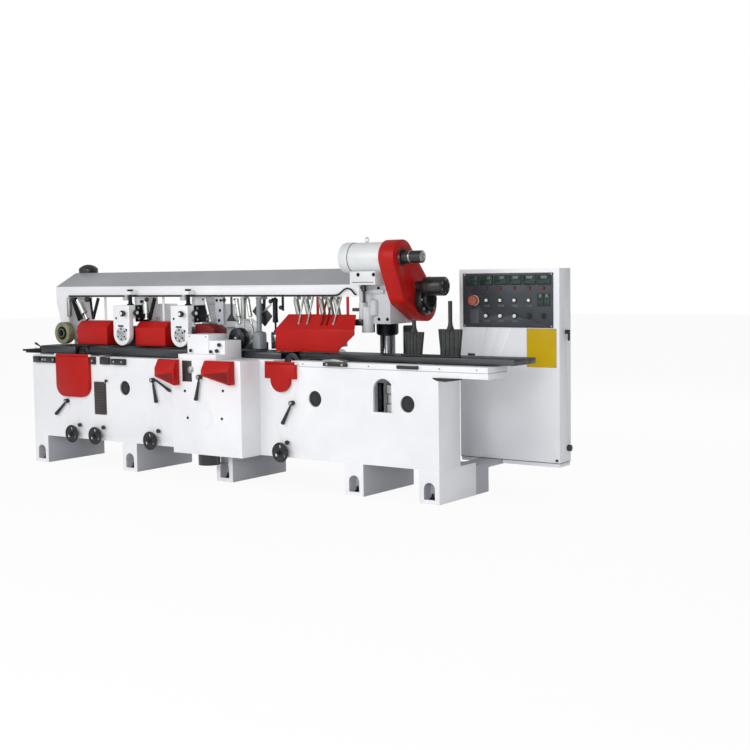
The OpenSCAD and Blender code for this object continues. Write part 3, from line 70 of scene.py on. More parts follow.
def at(station, depth, height):
    """A place in mm as a point of the frame in metres."""
    return Vector((BED_RIGHT - station, BED_FRONT + depth, height)) * MM


def place_camera():
    """Sets up the camera at the photograph's viewing angle."""
    level = math.cos(CAMERA_PITCH)
    forward = Vector((-math.sin(CAMERA_YAW) * level, math.cos(CAMERA_YAW) * level, -math.sin(CAMERA_PITCH)))
    right = Vector((math.cos(CAMERA_YAW), math.sin(CAMERA_YAW), 0))
    up = right.cross(forward)
    across = right * math.cos(CAMERA_ROLL) + up * math.sin(CAMERA_ROLL)
    above = up * math.cos(CAMERA_ROLL) - right * math.sin(CAMERA_ROLL)
    turn = Matrix((across, above, -forward)).transposed().to_4x4()
    bpy.ops.object.camera_add()
    camera = bpy.context.object
    camera.name = "photo_camera"
    camera.matrix_world = Matrix.Translation(CAMERA_PLACE) @ turn
    camera.data.sensor_width = SENSOR_MM
    camera.data.lens = FOCAL_PX / PHOTO_PX * SENSOR_MM
    camera.data.clip_end = 60
    bpy.context.scene.camera = camera


place_camera()


# Colours and nodes
def colour(code):
    """An sRGB hex value as linear red, green, blue and alpha."""
    parts = [int(code[i:i + 2], 16) / 255 for i in (1, 3, 5)]
    return [c / 12.92 if c <= 0.04045 else ((c + 0.055) / 1.055) ** 2.4 for c in parts] + [1]


def add(tree, kind, settings=(), values=(), links=()):
    """Adds one node: settings are its properties, values its sockets, links its inputs."""
    made = tree.nodes.new(kind)
    for key, value in dict(settings).items():
        setattr(made, key, value)
    for key, value in dict(values).items():
        made.inputs[key].default_value = value
    for key, source in dict(links).items():
        tree.links.new(source, made.inputs[key])
    return made


def surface(name, metallic=0.0, coat=0.0, ior=1.5):
    """A new material with its shader and its Object coordinates."""
    made = bpy.data.materials.new(name)
    made.use_nodes = True
    tree = made.node_tree
    shader = tree.nodes["Principled BSDF"]
    shader.inputs["Metallic"].default_value = metallic
    shader.inputs["IOR"].default_value = ior
    shader.inputs["Coat Weight"].default_value = coat
    shader.inputs["Coat Roughness"].default_value = 0.12
    place = add(tree, "ShaderNodeTexCoord").outputs["Object"]
    return made, tree, shader, place


def finish_surface(tree, shader, place, spread, base, rough, bump):
    """Ties a colour pattern, a roughness pattern and a bump to the shader.

    spread gives the grain of the colour and of the roughness in mm, base two hex colours,
    rough two roughnesses, and bump a grain in mm and a strength."""
    mottle = add(tree, "ShaderNodeTexNoise", {}, {"Scale": 1000 / spread[0], "Detail": 4}, {"Vector": place})
    ramp = add(tree, "ShaderNodeValToRGB", {}, {}, {"Fac": mottle.outputs["Fac"]})
    for stop, position, code in zip(ramp.color_ramp.elements, (0.35, 0.65), base):
        stop.position = position
        stop.color = colour(code)
    tree.links.new(ramp.outputs["Color"], shader.inputs["Base Color"])
    smear = add(tree, "ShaderNodeTexNoise", {}, {"Scale": 1000 / spread[1], "Detail": 3}, {"Vector": place})
    gloss = add(tree, "ShaderNodeMapRange", {}, {"To Min": rough[0], "To Max": rough[1]},
        {"Value": smear.outputs["Fac"]})
    tree.links.new(gloss.outputs["Result"], shader.inputs["Roughness"])
    grain = add(tree, "ShaderNodeTexNoise", {}, {"Scale": 1000 / bump[0], "Detail": 2}, {"Vector": place})
    relief = add(tree, "ShaderNodeBump", {}, {"Strength": bump[1], "Distance": 0.001},
        {"Height": grain.outputs["Fac"]})
    tree.links.new(relief.outputs["Normal"], shader.inputs["Normal"])


def enamel(name, light, dark, rough=(0.28, 0.42), bump=(9, 0.08), coat=0.12, ior=1.5):
    """Sprayed machine enamel: a smooth skin with faint orange peel, a little uneven in tone."""
    made, tree, shader, place = surface(name, coat=coat, ior=ior)
    finish_surface(tree, shader, place, (420, 60), (dark, light), rough, bump)
    return made


def metal(name, light, dark, rough=(0.22, 0.4), stretch=(1, 1, 1), grain=3, lift=0.15):
    """Machined metal: fine tool marks drawn out along one direction."""
    made, tree, shader, place = surface(name, metallic=1.0)
    drawn = add(tree, "ShaderNodeMapping", {}, {"Scale": stretch}, {"Vector": place}).outputs["Vector"]
    finish_surface(tree, shader, drawn, (30, grain), (dark, light), rough, (grain, lift))
    return made


def moulded(name, light, dark, rough=(0.4, 0.6), bump=(2.5, 0.2)):
    """Moulded plastic or rubber: an even colour with a fine matt grain."""
    made, tree, shader, place = surface(name, ior=1.46)
    finish_surface(tree, shader, place, (50, 18), (dark, light), rough, bump)
    return made


WHITE = enamel("white_enamel_on_castings", "#F2F3F6", "#E9EAEE")
MOTOR_WHITE = enamel("white_enamel_on_motor", "#E0E3E4", "#D7DADC")
SHEET_WHITE = enamel("white_enamel_on_sheet", "#EEF0F4", "#E6E8ED", (0.3, 0.4), (14, 0.05))
RED = enamel("red_enamel_on_sheet", "#B8130D", "#A80F0A", (0.34, 0.46), (12, 0.06), 0.0, 1.32)
# Red enamel darkened as painted shade, for the rear chip hood, the red rods and the guards' fronts
SHADE_RED = enamel("red_enamel_in_shade", "#7E1512", "#6A110F", (0.38, 0.5), (12, 0.06), 0.0, 1.32)
# A grey for thin seam strips, and painted shade on the upward faces of the beam's sloped cover
SEAM_AND_SHADE_GREY = enamel("grey_for_seams_and_painted_cover_shade", "#ABACB2", "#A1A3A9", (0.32, 0.45), (14, 0.05))
# A grey that stands for painted shade on the white enamel of the feet and the cabinet stand
SHADE_GREY_ON_FEET_AND_STAND = enamel("grey_painted_shade_on_feet_and_stand", "#B4B6BC", "#A6A8AF", (0.4, 0.55), (6, 0.22))
CAST_GREY = enamel("grey_enamel_on_castings", "#C2C4C8", "#AEB1B6", (0.35, 0.5), (5, 0.25))
BLACK_PAINT = enamel("black_enamel", "#202123", "#18191A", (0.3, 0.45), (6, 0.12))
PANEL = enamel("dark_panel_enamel", "#363B42", "#2C3138", (0.45, 0.6), (5, 0.08))
YELLOW = enamel("yellow_enamel_plate", "#D2B000", "#C4A200", (0.45, 0.55), (8, 0.05), 0.0, 1.3)
IRON = metal("ground_cast_iron", "#5B5E61", "#3F4144", (0.32, 0.5), (0.05, 1, 1), 2.5, 0.1)
DARK_STEEL = metal("oiled_dark_steel", "#4A4D50", "#2E3032", (0.35, 0.5), (1, 0.3, 1), 4, 0.15)
STEEL = metal("turned_steel", "#C9CBCE", "#A9ACB0", (0.2, 0.36), (1, 0.15, 1), 3, 0.1)
ZINC = metal("zinc_plated_steel", "#B9BBBA", "#9C9F9F", (0.3, 0.45), (1, 1, 1), 6, 0.1)
CHROME = metal("hard_chrome", "#9EA1A5", "#8C8F94", (0.07, 0.13), (1, 1, 0.1), 8, 0.02)
CAST_ALLOY = metal("anodised_aluminium", "#A9ADA8", "#8F948F", (0.35, 0.48), (1, 1, 0.2), 3, 0.08)
OXIDE = metal("black_oxide_steel", "#303236", "#1D1E20", (0.38, 0.55), (1, 1, 1), 3, 0.15)
BLACK = moulded("moulded_black_plastic", "#26272A", "#1A1B1D")
RUBBER = moulded("black_rubber", "#1C1C1E", "#131314", (0.6, 0.8), (3, 0.3))
SOFT = moulded("cast_polyurethane", "#8A8C68", "#74765A", (0.45, 0.6), (4, 0.25))
PADDLE = moulded("ribbed_black_rubber", "#323636", "#252828", (0.5, 0.65), (3, 0.2))
IVORY = moulded("white_plastic_caps", "#F1F1EE", "#E7E7E3", (0.2, 0.3), (6, 0.02))
# A red paled by a painted highlight, for the emergency stop's cap
RED_CAP = moulded("red_plastic_with_painted_highlight", "#B8685A", "#A85648", (0.2, 0.3), (6, 0.02))
PALE_RING = moulded("pale_plastic_ring", "#D8B49A", "#CBA288", (0.3, 0.4), (6, 0.02))
VENT = enamel("brown_black_vent_enamel", "#41363A", "#33292C", (0.4, 0.55), (6, 0.1))
PALE_ALLOY = metal("bright_cylinder_aluminium", "#DDE2DC", "#C4CBC5", (0.3, 0.42), (1, 1, 0.2), 3, 0.06)
BLUE_GREY = enamel("blue_grey_enamel", "#83898F", "#727980", (0.3, 0.45), (6, 0.12))
DIM_RED = moulded("unlit_red_lamp_lens", "#8E3A36", "#7A2D2A", (0.12, 0.2), (8, 0.02))
LEGEND = moulded("grey_legend_plates", "#565B62", "#4A4F56", (0.4, 0.5), (8, 0.05))
WINDOW = moulded("dark_meter_window", "#2D4741", "#22362F", (0.08, 0.14), (20, 0.01))


# Modelling
def pick_none():
    """Leaves edit mode and selects nothing."""
    if bpy.context.object and bpy.context.object.mode != "OBJECT":
        bpy.ops.object.mode_set(mode="OBJECT")
    bpy.ops.object.select_all(action="DESELECT")


def take(piece):
    """Makes a piece the only one selected."""
    pick_none()
    piece.select_set(True)
    bpy.context.view_layer.objects.active = piece


def named(name):
    """The piece just made, under its name."""
    piece = bpy.context.object
    piece.name = piece.data.name = name
    return piece


@contextmanager
def editing():
    """Edit mode on the active piece, with its whole mesh selected at the start."""
    bpy.ops.object.mode_set(mode="EDIT")
    bpy.ops.mesh.select_all(action="SELECT")
    yield
    bpy.ops.object.mode_set(mode="OBJECT")


def settle(piece):
    """Puts a piece's place into its mesh and leaves its object at the origin."""
    take(piece)
    bpy.ops.object.transform_apply(location=True, rotation=True, scale=True)
    return piece


def dress(piece, material, body):
    """Gives a finished piece its material, its shading and the body that it moves with."""
    take(piece)
    piece.data.materials.clear()
    piece.data.materials.append(material)
    bpy.ops.object.shade_smooth_by_angle(angle=CREASE)
    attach(piece, body)


def again(piece, move):
    """A copy with its own mesh, moved by mm along station, depth and height."""
    made = piece.copy()
    made.data = piece.data.copy()
    bpy.context.collection.objects.link(made)
    made.data.transform(Matrix.Translation(Vector((-move[0], move[1], move[2])) * MM))
    return made


def joined(name, parts):
    """Several parts as one piece."""
    pick_none()
    for part in parts:
        part.select_set(True)
    bpy.context.view_layer.objects.active = parts[0]
    bpy.ops.object.join()
    return named(name)


def many(name, first, moves):
    """One shape at several places, as one piece; moves are from the first, in mm."""
    return joined(name, [first] + [again(first, move) for move in moves])


def around(name, first, place, axis, count):
    """One shape turned about an axis through a place, count times, as one piece."""
    there = Matrix.Translation(at(*place))
    made = []
    for i in range(1, count):
        turn = there @ Matrix.Rotation(2 * math.pi * i / count, 4, axis) @ there.inverted()
        made.append(again(first, (0, 0, 0)))
        made[-1].data.transform(turn)
    return joined(name, [first] + made)


def block(name, low, high, edge=2.0):
    """A block between two places, its edges rounded by edge in mm."""
    a, b = at(*low), at(*high)
    pick_none()
    bpy.ops.mesh.primitive_cube_add(size=1, location=(a + b) / 2)
    piece = named(name)
    piece.scale = [abs(v) for v in b - a]
    settle(piece)
    with editing():
        bpy.ops.mesh.bevel(offset=edge * MM, segments=2, affect="EDGES")
    return piece


def blocks(name, *spans, edge=2.0):
    """Several blocks as one piece; each span is two places."""
    return joined(name, [block(name, low, high, edge) for low, high in spans])


def plate(name, corners, front, back, edge=1.5):
    """A plate cut to corners given as station and height, between two depths."""
    pick_none()
    bpy.ops.mesh.primitive_circle_add(vertices=len(corners), radius=1, fill_type="NGON")
    piece = named(name)
    for spot, (s, z) in zip(piece.data.vertices, corners):
        spot.co = at(s, back, z)
    with editing():
        bpy.ops.mesh.extrude_region_move(TRANSFORM_OT_translate={"value": (0, (front - back) * MM, 0)})
        bpy.ops.mesh.select_all(action="SELECT")
        bpy.ops.mesh.normals_make_consistent(inside=False)
        bpy.ops.mesh.bevel(offset=edge * MM, segments=2, affect="EDGES", clamp_overlap=True)
    return settle(piece)


def bar(name, start, end, wide, thick, edge=2.0):
    """A flat bar between two places of one depth, wide in the front view and thick in depth."""
    (s0, depth, z0), (s1, _, z1) = start, end
    span = math.hypot(s1 - s0, z1 - z0)
    u, v = (z0 - z1) / span * wide / 2, (s1 - s0) / span * wide / 2
    return plate(name, [(s0 + u, z0 + v), (s1 + u, z1 + v), (s1 - u, z1 - v), (s0 - u, z0 - v)],
        depth - thick / 2, depth + thick / 2, edge)


TURNS = {"x": (0, math.pi / 2, 0), "-x": (0, -math.pi / 2, 0), "y": (-math.pi / 2, 0, 0),
    "-y": (math.pi / 2, 0, 0), "z": (0, 0, 0), "-z": (math.pi, 0, 0)}


def swept(name, place, turn, profile, sides, hollow):
    """A circle extruded step by step through (radius, reach) pairs in mm, then turned and placed."""
    pick_none()
    radius, reach = profile[0]
    bpy.ops.mesh.primitive_circle_add(vertices=sides, radius=radius * MM,
        fill_type="NOTHING" if hollow else "NGON", location=(0, 0, reach * MM))
    piece = settle(named(name))
    with editing():
        for wide, far in profile[1:] + (profile[:1] if hollow else []):
            bpy.ops.mesh.extrude_region_move(TRANSFORM_OT_translate={"value": (0, 0, (far - reach) * MM)})
            bpy.ops.transform.resize(value=(wide / radius, wide / radius, 1),
                center_override=(0, 0, far * MM))
            radius, reach = wide, far
        bpy.ops.mesh.select_all(action="SELECT")
        if hollow:
            bpy.ops.mesh.remove_doubles(threshold=0.00001)
        bpy.ops.mesh.normals_make_consistent(inside=False)
    piece.rotation_euler = turn
    piece.location = at(*place)
    return settle(piece)


def turned(name, place, axis, profile, sides=40):
    """A solid turned piece along an axis."""
    return swept(name, place, TURNS[axis], profile, sides, hollow=False)


def ring(name, place, axis, profile, sides=48):
    """A turned ring along an axis; the profile closes on its first pair."""
    return swept(name, place, TURNS[axis], profile, sides, hollow=True)


def between(name, start, end, profile, sides=24):
    """A turned piece along a line: profile pairs are a radius in mm and a share of the line."""
    run = at(*end) - at(*start)
    turn = run.to_track_quat("Z", "Y").to_euler()
    steps = [(r, share * run.length / MM) for r, share in profile]
    return swept(name, start, turn, steps, sides, hollow=False)


def scaled(profile, size):
    """A profile given in shares of one size."""
    return [(radius * size, reach * size) for radius, reach in profile]


BOLT_HEAD = [(0.95, 0.2), (1, 0.32), (1, 0.8), (0.85, 0.95), (0.3, 1)]
KNOB_STEM = [(0.35, 0), (0.35, 0.6), (0.5, 0.65), (0.55, 0.8)]
KNOB_HEAD = [(0.8, 0.7), (1, 0.85), (1, 1.5), (0.75, 1.75), (0.25, 1.8)]
AIR_UNIT = ((0.5, 0), (0.7, 0.03), (1.12, 0.05), (1.12, 0.13), (1, 0.14), (1, 0.62), (1.12, 0.63),
    (1.12, 0.7), (0.8, 0.72), (0.4, 0.73), (0.4, 0.93), (0.75, 0.94), (0.75, 1.0), (0.3, 1.02))


def bolt(name, place, axis, size):
    """A hexagon bolt head on its washer, sunk 0.5 mm; size is the head's radius in mm."""
    rim = [(size * 1.35, -0.5), (size * 1.35, size * 0.2), (size * 1.2, size * 0.28)]
    washer = turned(name, place, axis, rim, 24)
    head = turned(name, place, axis, scaled(BOLT_HEAD, size), 6)
    return joined(name, [washer, head])


def bolts(name, place, axis, size, moves, material, body):
    """Finished bolts of one size as one piece, named in the plural."""
    dress(many(name + "s", bolt(name, place, axis, size), moves), material, body)


def knob(name, place, axis, size):
    """A lobed clamping knob on its stem; size is its radius in mm."""
    stem = turned(name, place, axis, scaled(KNOB_STEM, size), 20)
    head = turned(name, place, axis, scaled(KNOB_HEAD, size), 12)
    return joined(name, [stem, head])


def grille(name, place, axis, rings):
    """A fan grille: one flat ring for each radius in mm and number of sides."""
    return joined(name, [ring(name, place, axis, [(r, 0), (r, 3), (r + 4, 3), (r + 4, 0)], sides)
        for r, sides in rings])


def air_unit(name, start, end, radius, material):
    """A small air cylinder hung from the beam: eye pin, end caps, barrel and rod."""
    barrel = between(name, start, end, [(radius * r, share) for r, share in AIR_UNIT], 28)
    dress(barrel, material, "beam")
    eye = (start[0], start[1] - radius * 1.1, start[2] - radius * 0.6)
    dress(knob(name + "_pin", eye, "-y", radius * 0.45), OXIDE, "beam")


# CAD solids with softened edges
BODY_OF = {n: b for b, nodes in frame["record"]["behaviour"]["bodies"].items() for n in nodes}


def softened(node, material, edge, shortest):
    """A copy of a CAD solid with its sharp edges rounded, standing for that solid.

    edge is the rounding in mm, and an edge shorter than shortest in mm stays sharp."""
    piece = bpy.data.objects.new(node + "_finished", frame["nodes"][node].data.copy())
    bpy.context.collection.objects.link(piece)
    take(piece)
    with editing():
        bpy.ops.mesh.remove_doubles(threshold=0.00002)
        bpy.ops.mesh.dissolve_limited(angle_limit=math.radians(0.5))
        bpy.ops.mesh.select_all(action="DESELECT")
        bpy.ops.mesh.edges_select_sharp(sharpness=CREASE)
    spots = piece.data.vertices
    for e in piece.data.edges:
        if (spots[e.vertices[0]].co - spots[e.vertices[1]].co).length < shortest * MM:
            e.select = False
    bpy.ops.object.mode_set(mode="EDIT")
    bpy.ops.mesh.select_mode(type="EDGE")
    bpy.ops.mesh.bevel(offset=edge * MM, segments=2, affect="EDGES", clamp_overlap=True)
    bpy.ops.mesh.select_mode(type="VERT")
    bpy.ops.object.mode_set(mode="OBJECT")
    dress(piece, material, BODY_OF[node])
    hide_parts(node)
    return piece


# Each node's material and the rounding of its edges in mm
FINISHES = {
    # bed_feet and cabinet_stand take the grey that stands for painted shade on white enamel
    "bed_casting": (WHITE, 4), "bed_feet": (SHADE_GREY_ON_FEET_AND_STAND, 4), "side_head_box": (WHITE, 4),
    "bed_table": (IRON, 1.5), "fence_rail": (IRON, 1.5), "lift_columns": (CHROME, 1.0),
    "side_head_guards": (RED, 3), "cabinet_shell": (SHEET_WHITE, 3), "cabinet_stand": (SHADE_GREY_ON_FEET_AND_STAND, 3),
    "control_panel": (PANEL, 1),
    "outfeed_bracket": (OXIDE, 2), "right_unit": (CAST_GREY, 2), "beam_shell": (WHITE, 3),
    "feed_gearbox": (CAST_GREY, 5), "feed_motor": (MOTOR_WHITE, 2), "belt_guard": (RED, 2),
    "drive_belt": (RUBBER, 1), "air_line": (RUBBER, 0.5), "air_cylinders": (CAST_ALLOY, 1),
    "infeed_hood": (RED, 1), "chip_hoods": (RED, 1), "lift_motor": (BLACK_PAINT, 1),
    "roller_arm_1": (CAST_GREY, 2), "roller_arm_2": (CAST_GREY, 2), "roller_arm_3": (CAST_GREY, 2),
    "feed_roller_1": (SOFT, 1.5), "feed_roller_2": (DARK_STEEL, 1.5), "feed_roller_3": (DARK_STEEL, 1.5),
    "feed_roller_4": (DARK_STEEL, 1.5), "top_head_1": (WHITE, 3), "top_head_2": (WHITE, 3),
    "top_spindle_1": (STEEL, 1), "top_spindle_2": (STEEL, 1), "motor_pulley": (BLACK_PAINT, 1.5),
    "driven_pulley": (BLACK_PAINT, 1.5), "infeed_table": (IRON, 1.5), "side_guides": (PADDLE, 1.5),
    "left_shield": (RED, 1.5), "right_shield": (RED, 1.5), "bottom_unit_1": (CAST_GREY, 2),
    "bottom_unit_2": (CAST_GREY, 2), "bottom_spindle_1": (DARK_STEEL, 1), "bottom_spindle_2": (DARK_STEEL, 1),
    "right_spindle": (STEEL, 1), "left_head": (WHITE, 2.5), "left_spindle": (STEEL, 1),
    "handwheel_1": (BLACK, 0.8), "handwheel_2": (BLACK, 0.8), "handwheel_3": (BLACK, 0.8),
    "handwheel_4": (BLACK, 0.8), "clamp_lever_1": (BLACK, 0.8), "clamp_lever_2": (BLACK, 0.8),
    "clamp_lever_3": (BLACK, 0.8), "clamp_lever_4": (BLACK, 0.8), "cabinet_door": (SHEET_WHITE, 3),
    "door_latch": (BLACK, 1), "emergency_stop": (RED_CAP, 2), "push_button_1": (IVORY, 1),
    "push_button_2": (IVORY, 1), "push_button_3": (IVORY, 1)}
# Nodes with round rims, where the short edges are rounded too
ROUND = ("lift_columns", "feed_motor", "emergency_stop", "push_button_1", "push_button_2", "push_button_3",
    "motor_pulley", "driven_pulley", "top_spindle_1", "top_spindle_2", "bottom_spindle_1", "bottom_spindle_2",
    "right_spindle", "left_spindle", "feed_roller_1", "feed_roller_2", "feed_roller_3", "feed_roller_4",
    "lift_motor", "right_unit")
done = {node: softened(node, *finish, 0.5 if node in ROUND else 12) for node, finish in FINISHES.items()}


def paint_faces(node, material, wanted):
    """Gives a second material to a node's faces whose middle in metres and normal are wanted."""
    mesh = done[node].data
    mesh.materials.append(material)
    for face in mesh.polygons:
        if wanted(face.center, face.normal):
            face.material_index = len(mesh.materials) - 1


# The upward faces of the beam's sloped cover are painted grey as shade; its front and end are white
paint_faces("beam_shell", SEAM_AND_SHADE_GREY, lambda c, n: n.z > 0.3 and c.z > 1.31)
# The feet are painted grey as shade on their sides and backs; their fronts are white, as the bed is, and so
# is the infeed foot's end
paint_faces("bed_feet", WHITE, lambda c, n: (n.y < -0.6 and c.y < -0.305) or (n.x > 0.6 and c.x > 1.7))
# The hangers of the chip hoods are white as the beam is, the height screws of the heads dark steel
paint_faces("chip_hoods", WHITE, lambda c, n: c.z > 1.0685)
paint_faces("top_head_1", OXIDE, lambda c, n: c.z > 1.1865)
paint_faces("top_head_2", OXIDE, lambda c, n: c.z > 1.1865)
# The drum beside the belt guard is black, the boot on the infeed side rubber, the cable gland black
paint_faces("belt_guard", BLACK_PAINT, lambda c, n: c.x > 1.3412)
paint_faces("lift_columns", RUBBER, lambda c, n: c.x > 1.2)
paint_faces("cabinet_shell", BLACK, lambda c, n: c.x > 2.1645)
# The motor under the front box is black, the sleeve under the gearbox dark steel
paint_faces("left_head", BLACK_PAINT, lambda c, n: c.z < 0.6)
paint_faces("feed_gearbox", OXIDE, lambda c, n: c.z < 1.048)


# Bed front
PORT_COVER = [(51.2, 0), (51.2, 5), (48, 8), (41, 8), (39, 5), (27, 5), (25, 8), (12, 9), (10, 12), (4, 12.5)]
port_cover = turned("port_cover", (2675.4, 18, 598), "-y", PORT_COVER, 48)
dress(many("port_covers", port_cover, [(-1735.9, 0, 0), (-2450.4, 0, 0)]), BLACK, "frame")
vent = block("vent_plate", (2869, -5, 394), (2994, 0.3, 634), 1.5)
slat = plate("vent_slat", [(2879, 404), (2984, 404), (2984, 416), (2879, 416)], -11, -4, 2.5)
slats = many("vent_slats", slat, [(0, 0, 20 * i) for i in range(1, 11)])
dress(joined("vent_cover", [vent, slats]), VENT, "frame")
bolts("vent_screw", (2874, -5, 628), "-y", 4, [(115, 0, 0), (0, 0, -229), (115, 0, -229)], ZINC, "frame")
dress(knob("vent_latch", (2858, 0, 644), "-y", 11), BLACK, "frame")
BOX_COVER = [(71, 0), (71, 2.5), (68, 4.5), (62, 4.5), (60, 3.5), (8, 4)]
dress(turned("box_round_cover", (1711, BOX_FACE + 0.5, 461), "-y", BOX_COVER, 64), WHITE, "frame")
bolts("box_cover_bolt", (1897, BOX_FACE, 626), "-y", 7, [(-343, 0, 14), (-328, 0, -171), (-20, 0, -180)],
    OXIDE, "frame")
wheel_lock = knob("wheel_lock", (3148, 0, 307), "-y", 15)
dress(many("wheel_locks", wheel_lock, [(-253, 0, -4), (-812, 0, 3), (-1984, 0, -2)]), BLACK, "frame")
dress(block("shelf_band", (1062, -3, 804), (-344, 0.5, 836.6), 1.2), WHITE, "frame")
shelf_seam = blocks("shelf_seam", ((1062, -1.2, 800.5), (-344.6, 0.3, 804)),
    ((-343.5, 0, 800.5), (-345.2, 219.5, 804)), edge=0.4)
dress(shelf_seam, SEAM_AND_SHADE_GREY, "frame")
bolts("shelf_band_screw", (1030, -3, 820), "-y", 4, [(-260 * i, 0, 0) for i in range(1, 6)], ZINC, "frame")
edge_clamps = blocks("edge_clamps", ((670, -26, 812), (852, -3.2, 836)), ((137, -24, 812), (288, -3.2, 834)),
    ((2966, -24, 760), (3004, 0, 815)), ((2651, -24, 764), (2790, 0, 808)),
    ((2815, -20, 762), (2911, 0, 815)), edge=3)
dress(edge_clamps, BLACK_PAINT, "frame")
long_bar = plate("long_bar", [(858, 842), (858, 852), (770, 858), (690, 848), (690, 840)], -22, 40, 2)
short_bar = plate("short_bar", [(2918, 819), (2918, 829), (2880, 829), (2862, 819)], -16, 60, 2)
dress(joined("edge_clamp_bars", [long_bar, short_bar]), ZINC, "frame")
bolts("edge_clamp_bolt", (700, -26, 824), "-y", 6,
    [(120, 0, 0), (2285, 2, -36), (1980, 2, -38), (2060, 2, -38)], ZINC, "frame")
SHELF_CLAMP = [(37, 766), (-160, 766), (-142, 756), (-50, 744), (8, 748), (37, 760)]
dress(plate("shelf_clamp", SHELF_CLAMP, -8, 40, 2), BLACK_PAINT, "frame")
dress(block("table_end_cap", (-394, 232, 846), (-403, 257, 873), 2), BLACK, "infeed_table")
ANCHOR_S, ANCHOR_D = 72.5, 35
nut = bolt("anchor_nut", (ANCHOR_S, ANCHOR_D, 25.5), "z", 14)
stud = turned("anchor_stud", (ANCHOR_S, ANCHOR_D, 36), "z", [(7.5, 0), (7.5, 20), (6, 22)], 20)
others = [(s - ANCHOR_S, d, 0) for s in (637.5, 1730.5, 2644.5, 3597.5) for d in (0, 490)]
dress(many("anchor_bolts", joined("anchor_bolt", [nut, stud]), others), OXIDE, "frame")

# Lift gear behind the arched window
LIFT_GEAR = [(40, 0), (44, 4), (44, 58), (36, 66), (36, 118), (44, 126), (44, 176), (30, 188), (12, 190)]
dress(turned("lift_gear", (386, 76, 528), "z", LIFT_GEAR), CAST_ALLOY, "frame")
dress(block("lift_gear_rail", (442, 32, 532), (470, 62, 716), 3), OXIDE, "frame")

# Outfeed end
outfeed_stop = [block("outfeed_stop", (3402, -24, 758), (3640, 0.4, 806), 4),
    block("outfeed_stop", (3430, -30, 768), (3470, -22, 796), 3),
    block("outfeed_stop", (3560, -34, 772), (3612, -22, 800), 3)]
dress(joined("outfeed_stop", outfeed_stop), BLACK_PAINT, "frame")
bolts("outfeed_stop_bolt", (3500, -24, 782), "-y", 7, [(30, 0, 0), (-84, 0, 0)], ZINC, "frame")
OUTFEED_GRIP = [(5, 0), (5, 0.4), (7, 0.5), (9, 0.9), (6, 1.0), (2, 1.02)]
boss = turned("outfeed_boss", (3689, 102, 848), "z", [(13, -0.5), (13, 14), (8, 19), (3, 20)], 24)
grip = between("outfeed_grip", (3685, 102, 864), (3752, 96, 896), OUTFEED_GRIP)
dress(joined("outfeed_lever", [boss, grip]), BLACK, "frame")
bolts("outfeed_screw", (3700, 150, 848), "z", 7, [(0, 150, 0), (115, 0, 0), (115, 150, 0)], ZINC, "frame")

# Fronts of the top heads, and the beam's lugs over them
KNOB_CAP = [(12, 39), (12, 41.5), (9, 43)]
SMALL_HOLE, LARGE_HOLE = [(9, 0), (9, 2), (7, 2.6)], [(11, 0), (11, 2), (9, 2.6)]
NOSE = [(52, 0), (52, 3), (48, 5), (27, 5), (25, 9), (25, 10)]
SCREW_COLLAR = [(24, 0), (24, 9), (15, 12), (15, 26), (12, 28)]
for i, middle in TOP_HEADS:
    body = "top_head_%d" % i
    tag = "head_%d_" % i
    side = middle - 82
    spots = (((middle - 40, 105, 1128), "-y"), ((side, 150, 1132), "x"))
    dress(joined(tag + "knobs", [knob(tag + "knob", *spot, 22) for spot in spots]), BLACK, body)
    dress(joined(tag + "caps", [turned(tag + "cap", *spot, KNOB_CAP, 24) for spot in spots]), IVORY, body)
    slot = [(middle + 34, 1030), (middle + 34, 1043), (middle - 22, 1043), (middle - 22, 1030)]
    marks = [plate(tag + "slot", slot, 103.8, HEAD_FACE, 1)]
    for off, height, profile in ((-48, 1007, LARGE_HOLE), (52, 1093, SMALL_HOLE), (-40, 945, SMALL_HOLE)):
        marks.append(turned(tag + "hole", (middle + off, HEAD_FACE, height), "-y", profile, 28))
    dress(joined(tag + "slots", marks), BLACK_PAINT, body)
    dress(turned(tag + "nose", (middle, HEAD_FACE, HEAD_AXIS), "-y", NOSE, 48), CAST_GREY, body)
    nose_bolt = bolt(tag + "nose_bolt", (middle, 101, 1016), "-y", 5)
    dress(around(tag + "nose_bolts", nose_bolt, (middle, 101, HEAD_AXIS), "Y", 6), OXIDE, body)
    gib = [(side - 13, 1066), (side - 13, 1186), (side + 0.3, 1186), (side + 0.3, 1066)]
    dress(plate(tag + "gib", gib, 168, 300, 2), OXIDE, body)
    bolts(tag + "gib_bolt", (side - 13, 188, 1166), "x", 7, [(0, 92, 0), (0, 0, -80), (0, 92, -80)],
        ZINC, body)
    dress(turned(tag + "screw_collar", (middle, 200, 1185), "z", SCREW_COLLAR, 32), OXIDE, body)
    lug = blocks(tag + "beam_lug", ((middle + 46, 214, 1219), (middle + 96, 262, BEAM_FLOOR + 0.2)),
        ((middle + 58, 222, BEAM_FLOOR), (middle + 84, 250.2, 1262)), edge=3)
    dress(lug, CAST_GREY, "beam")

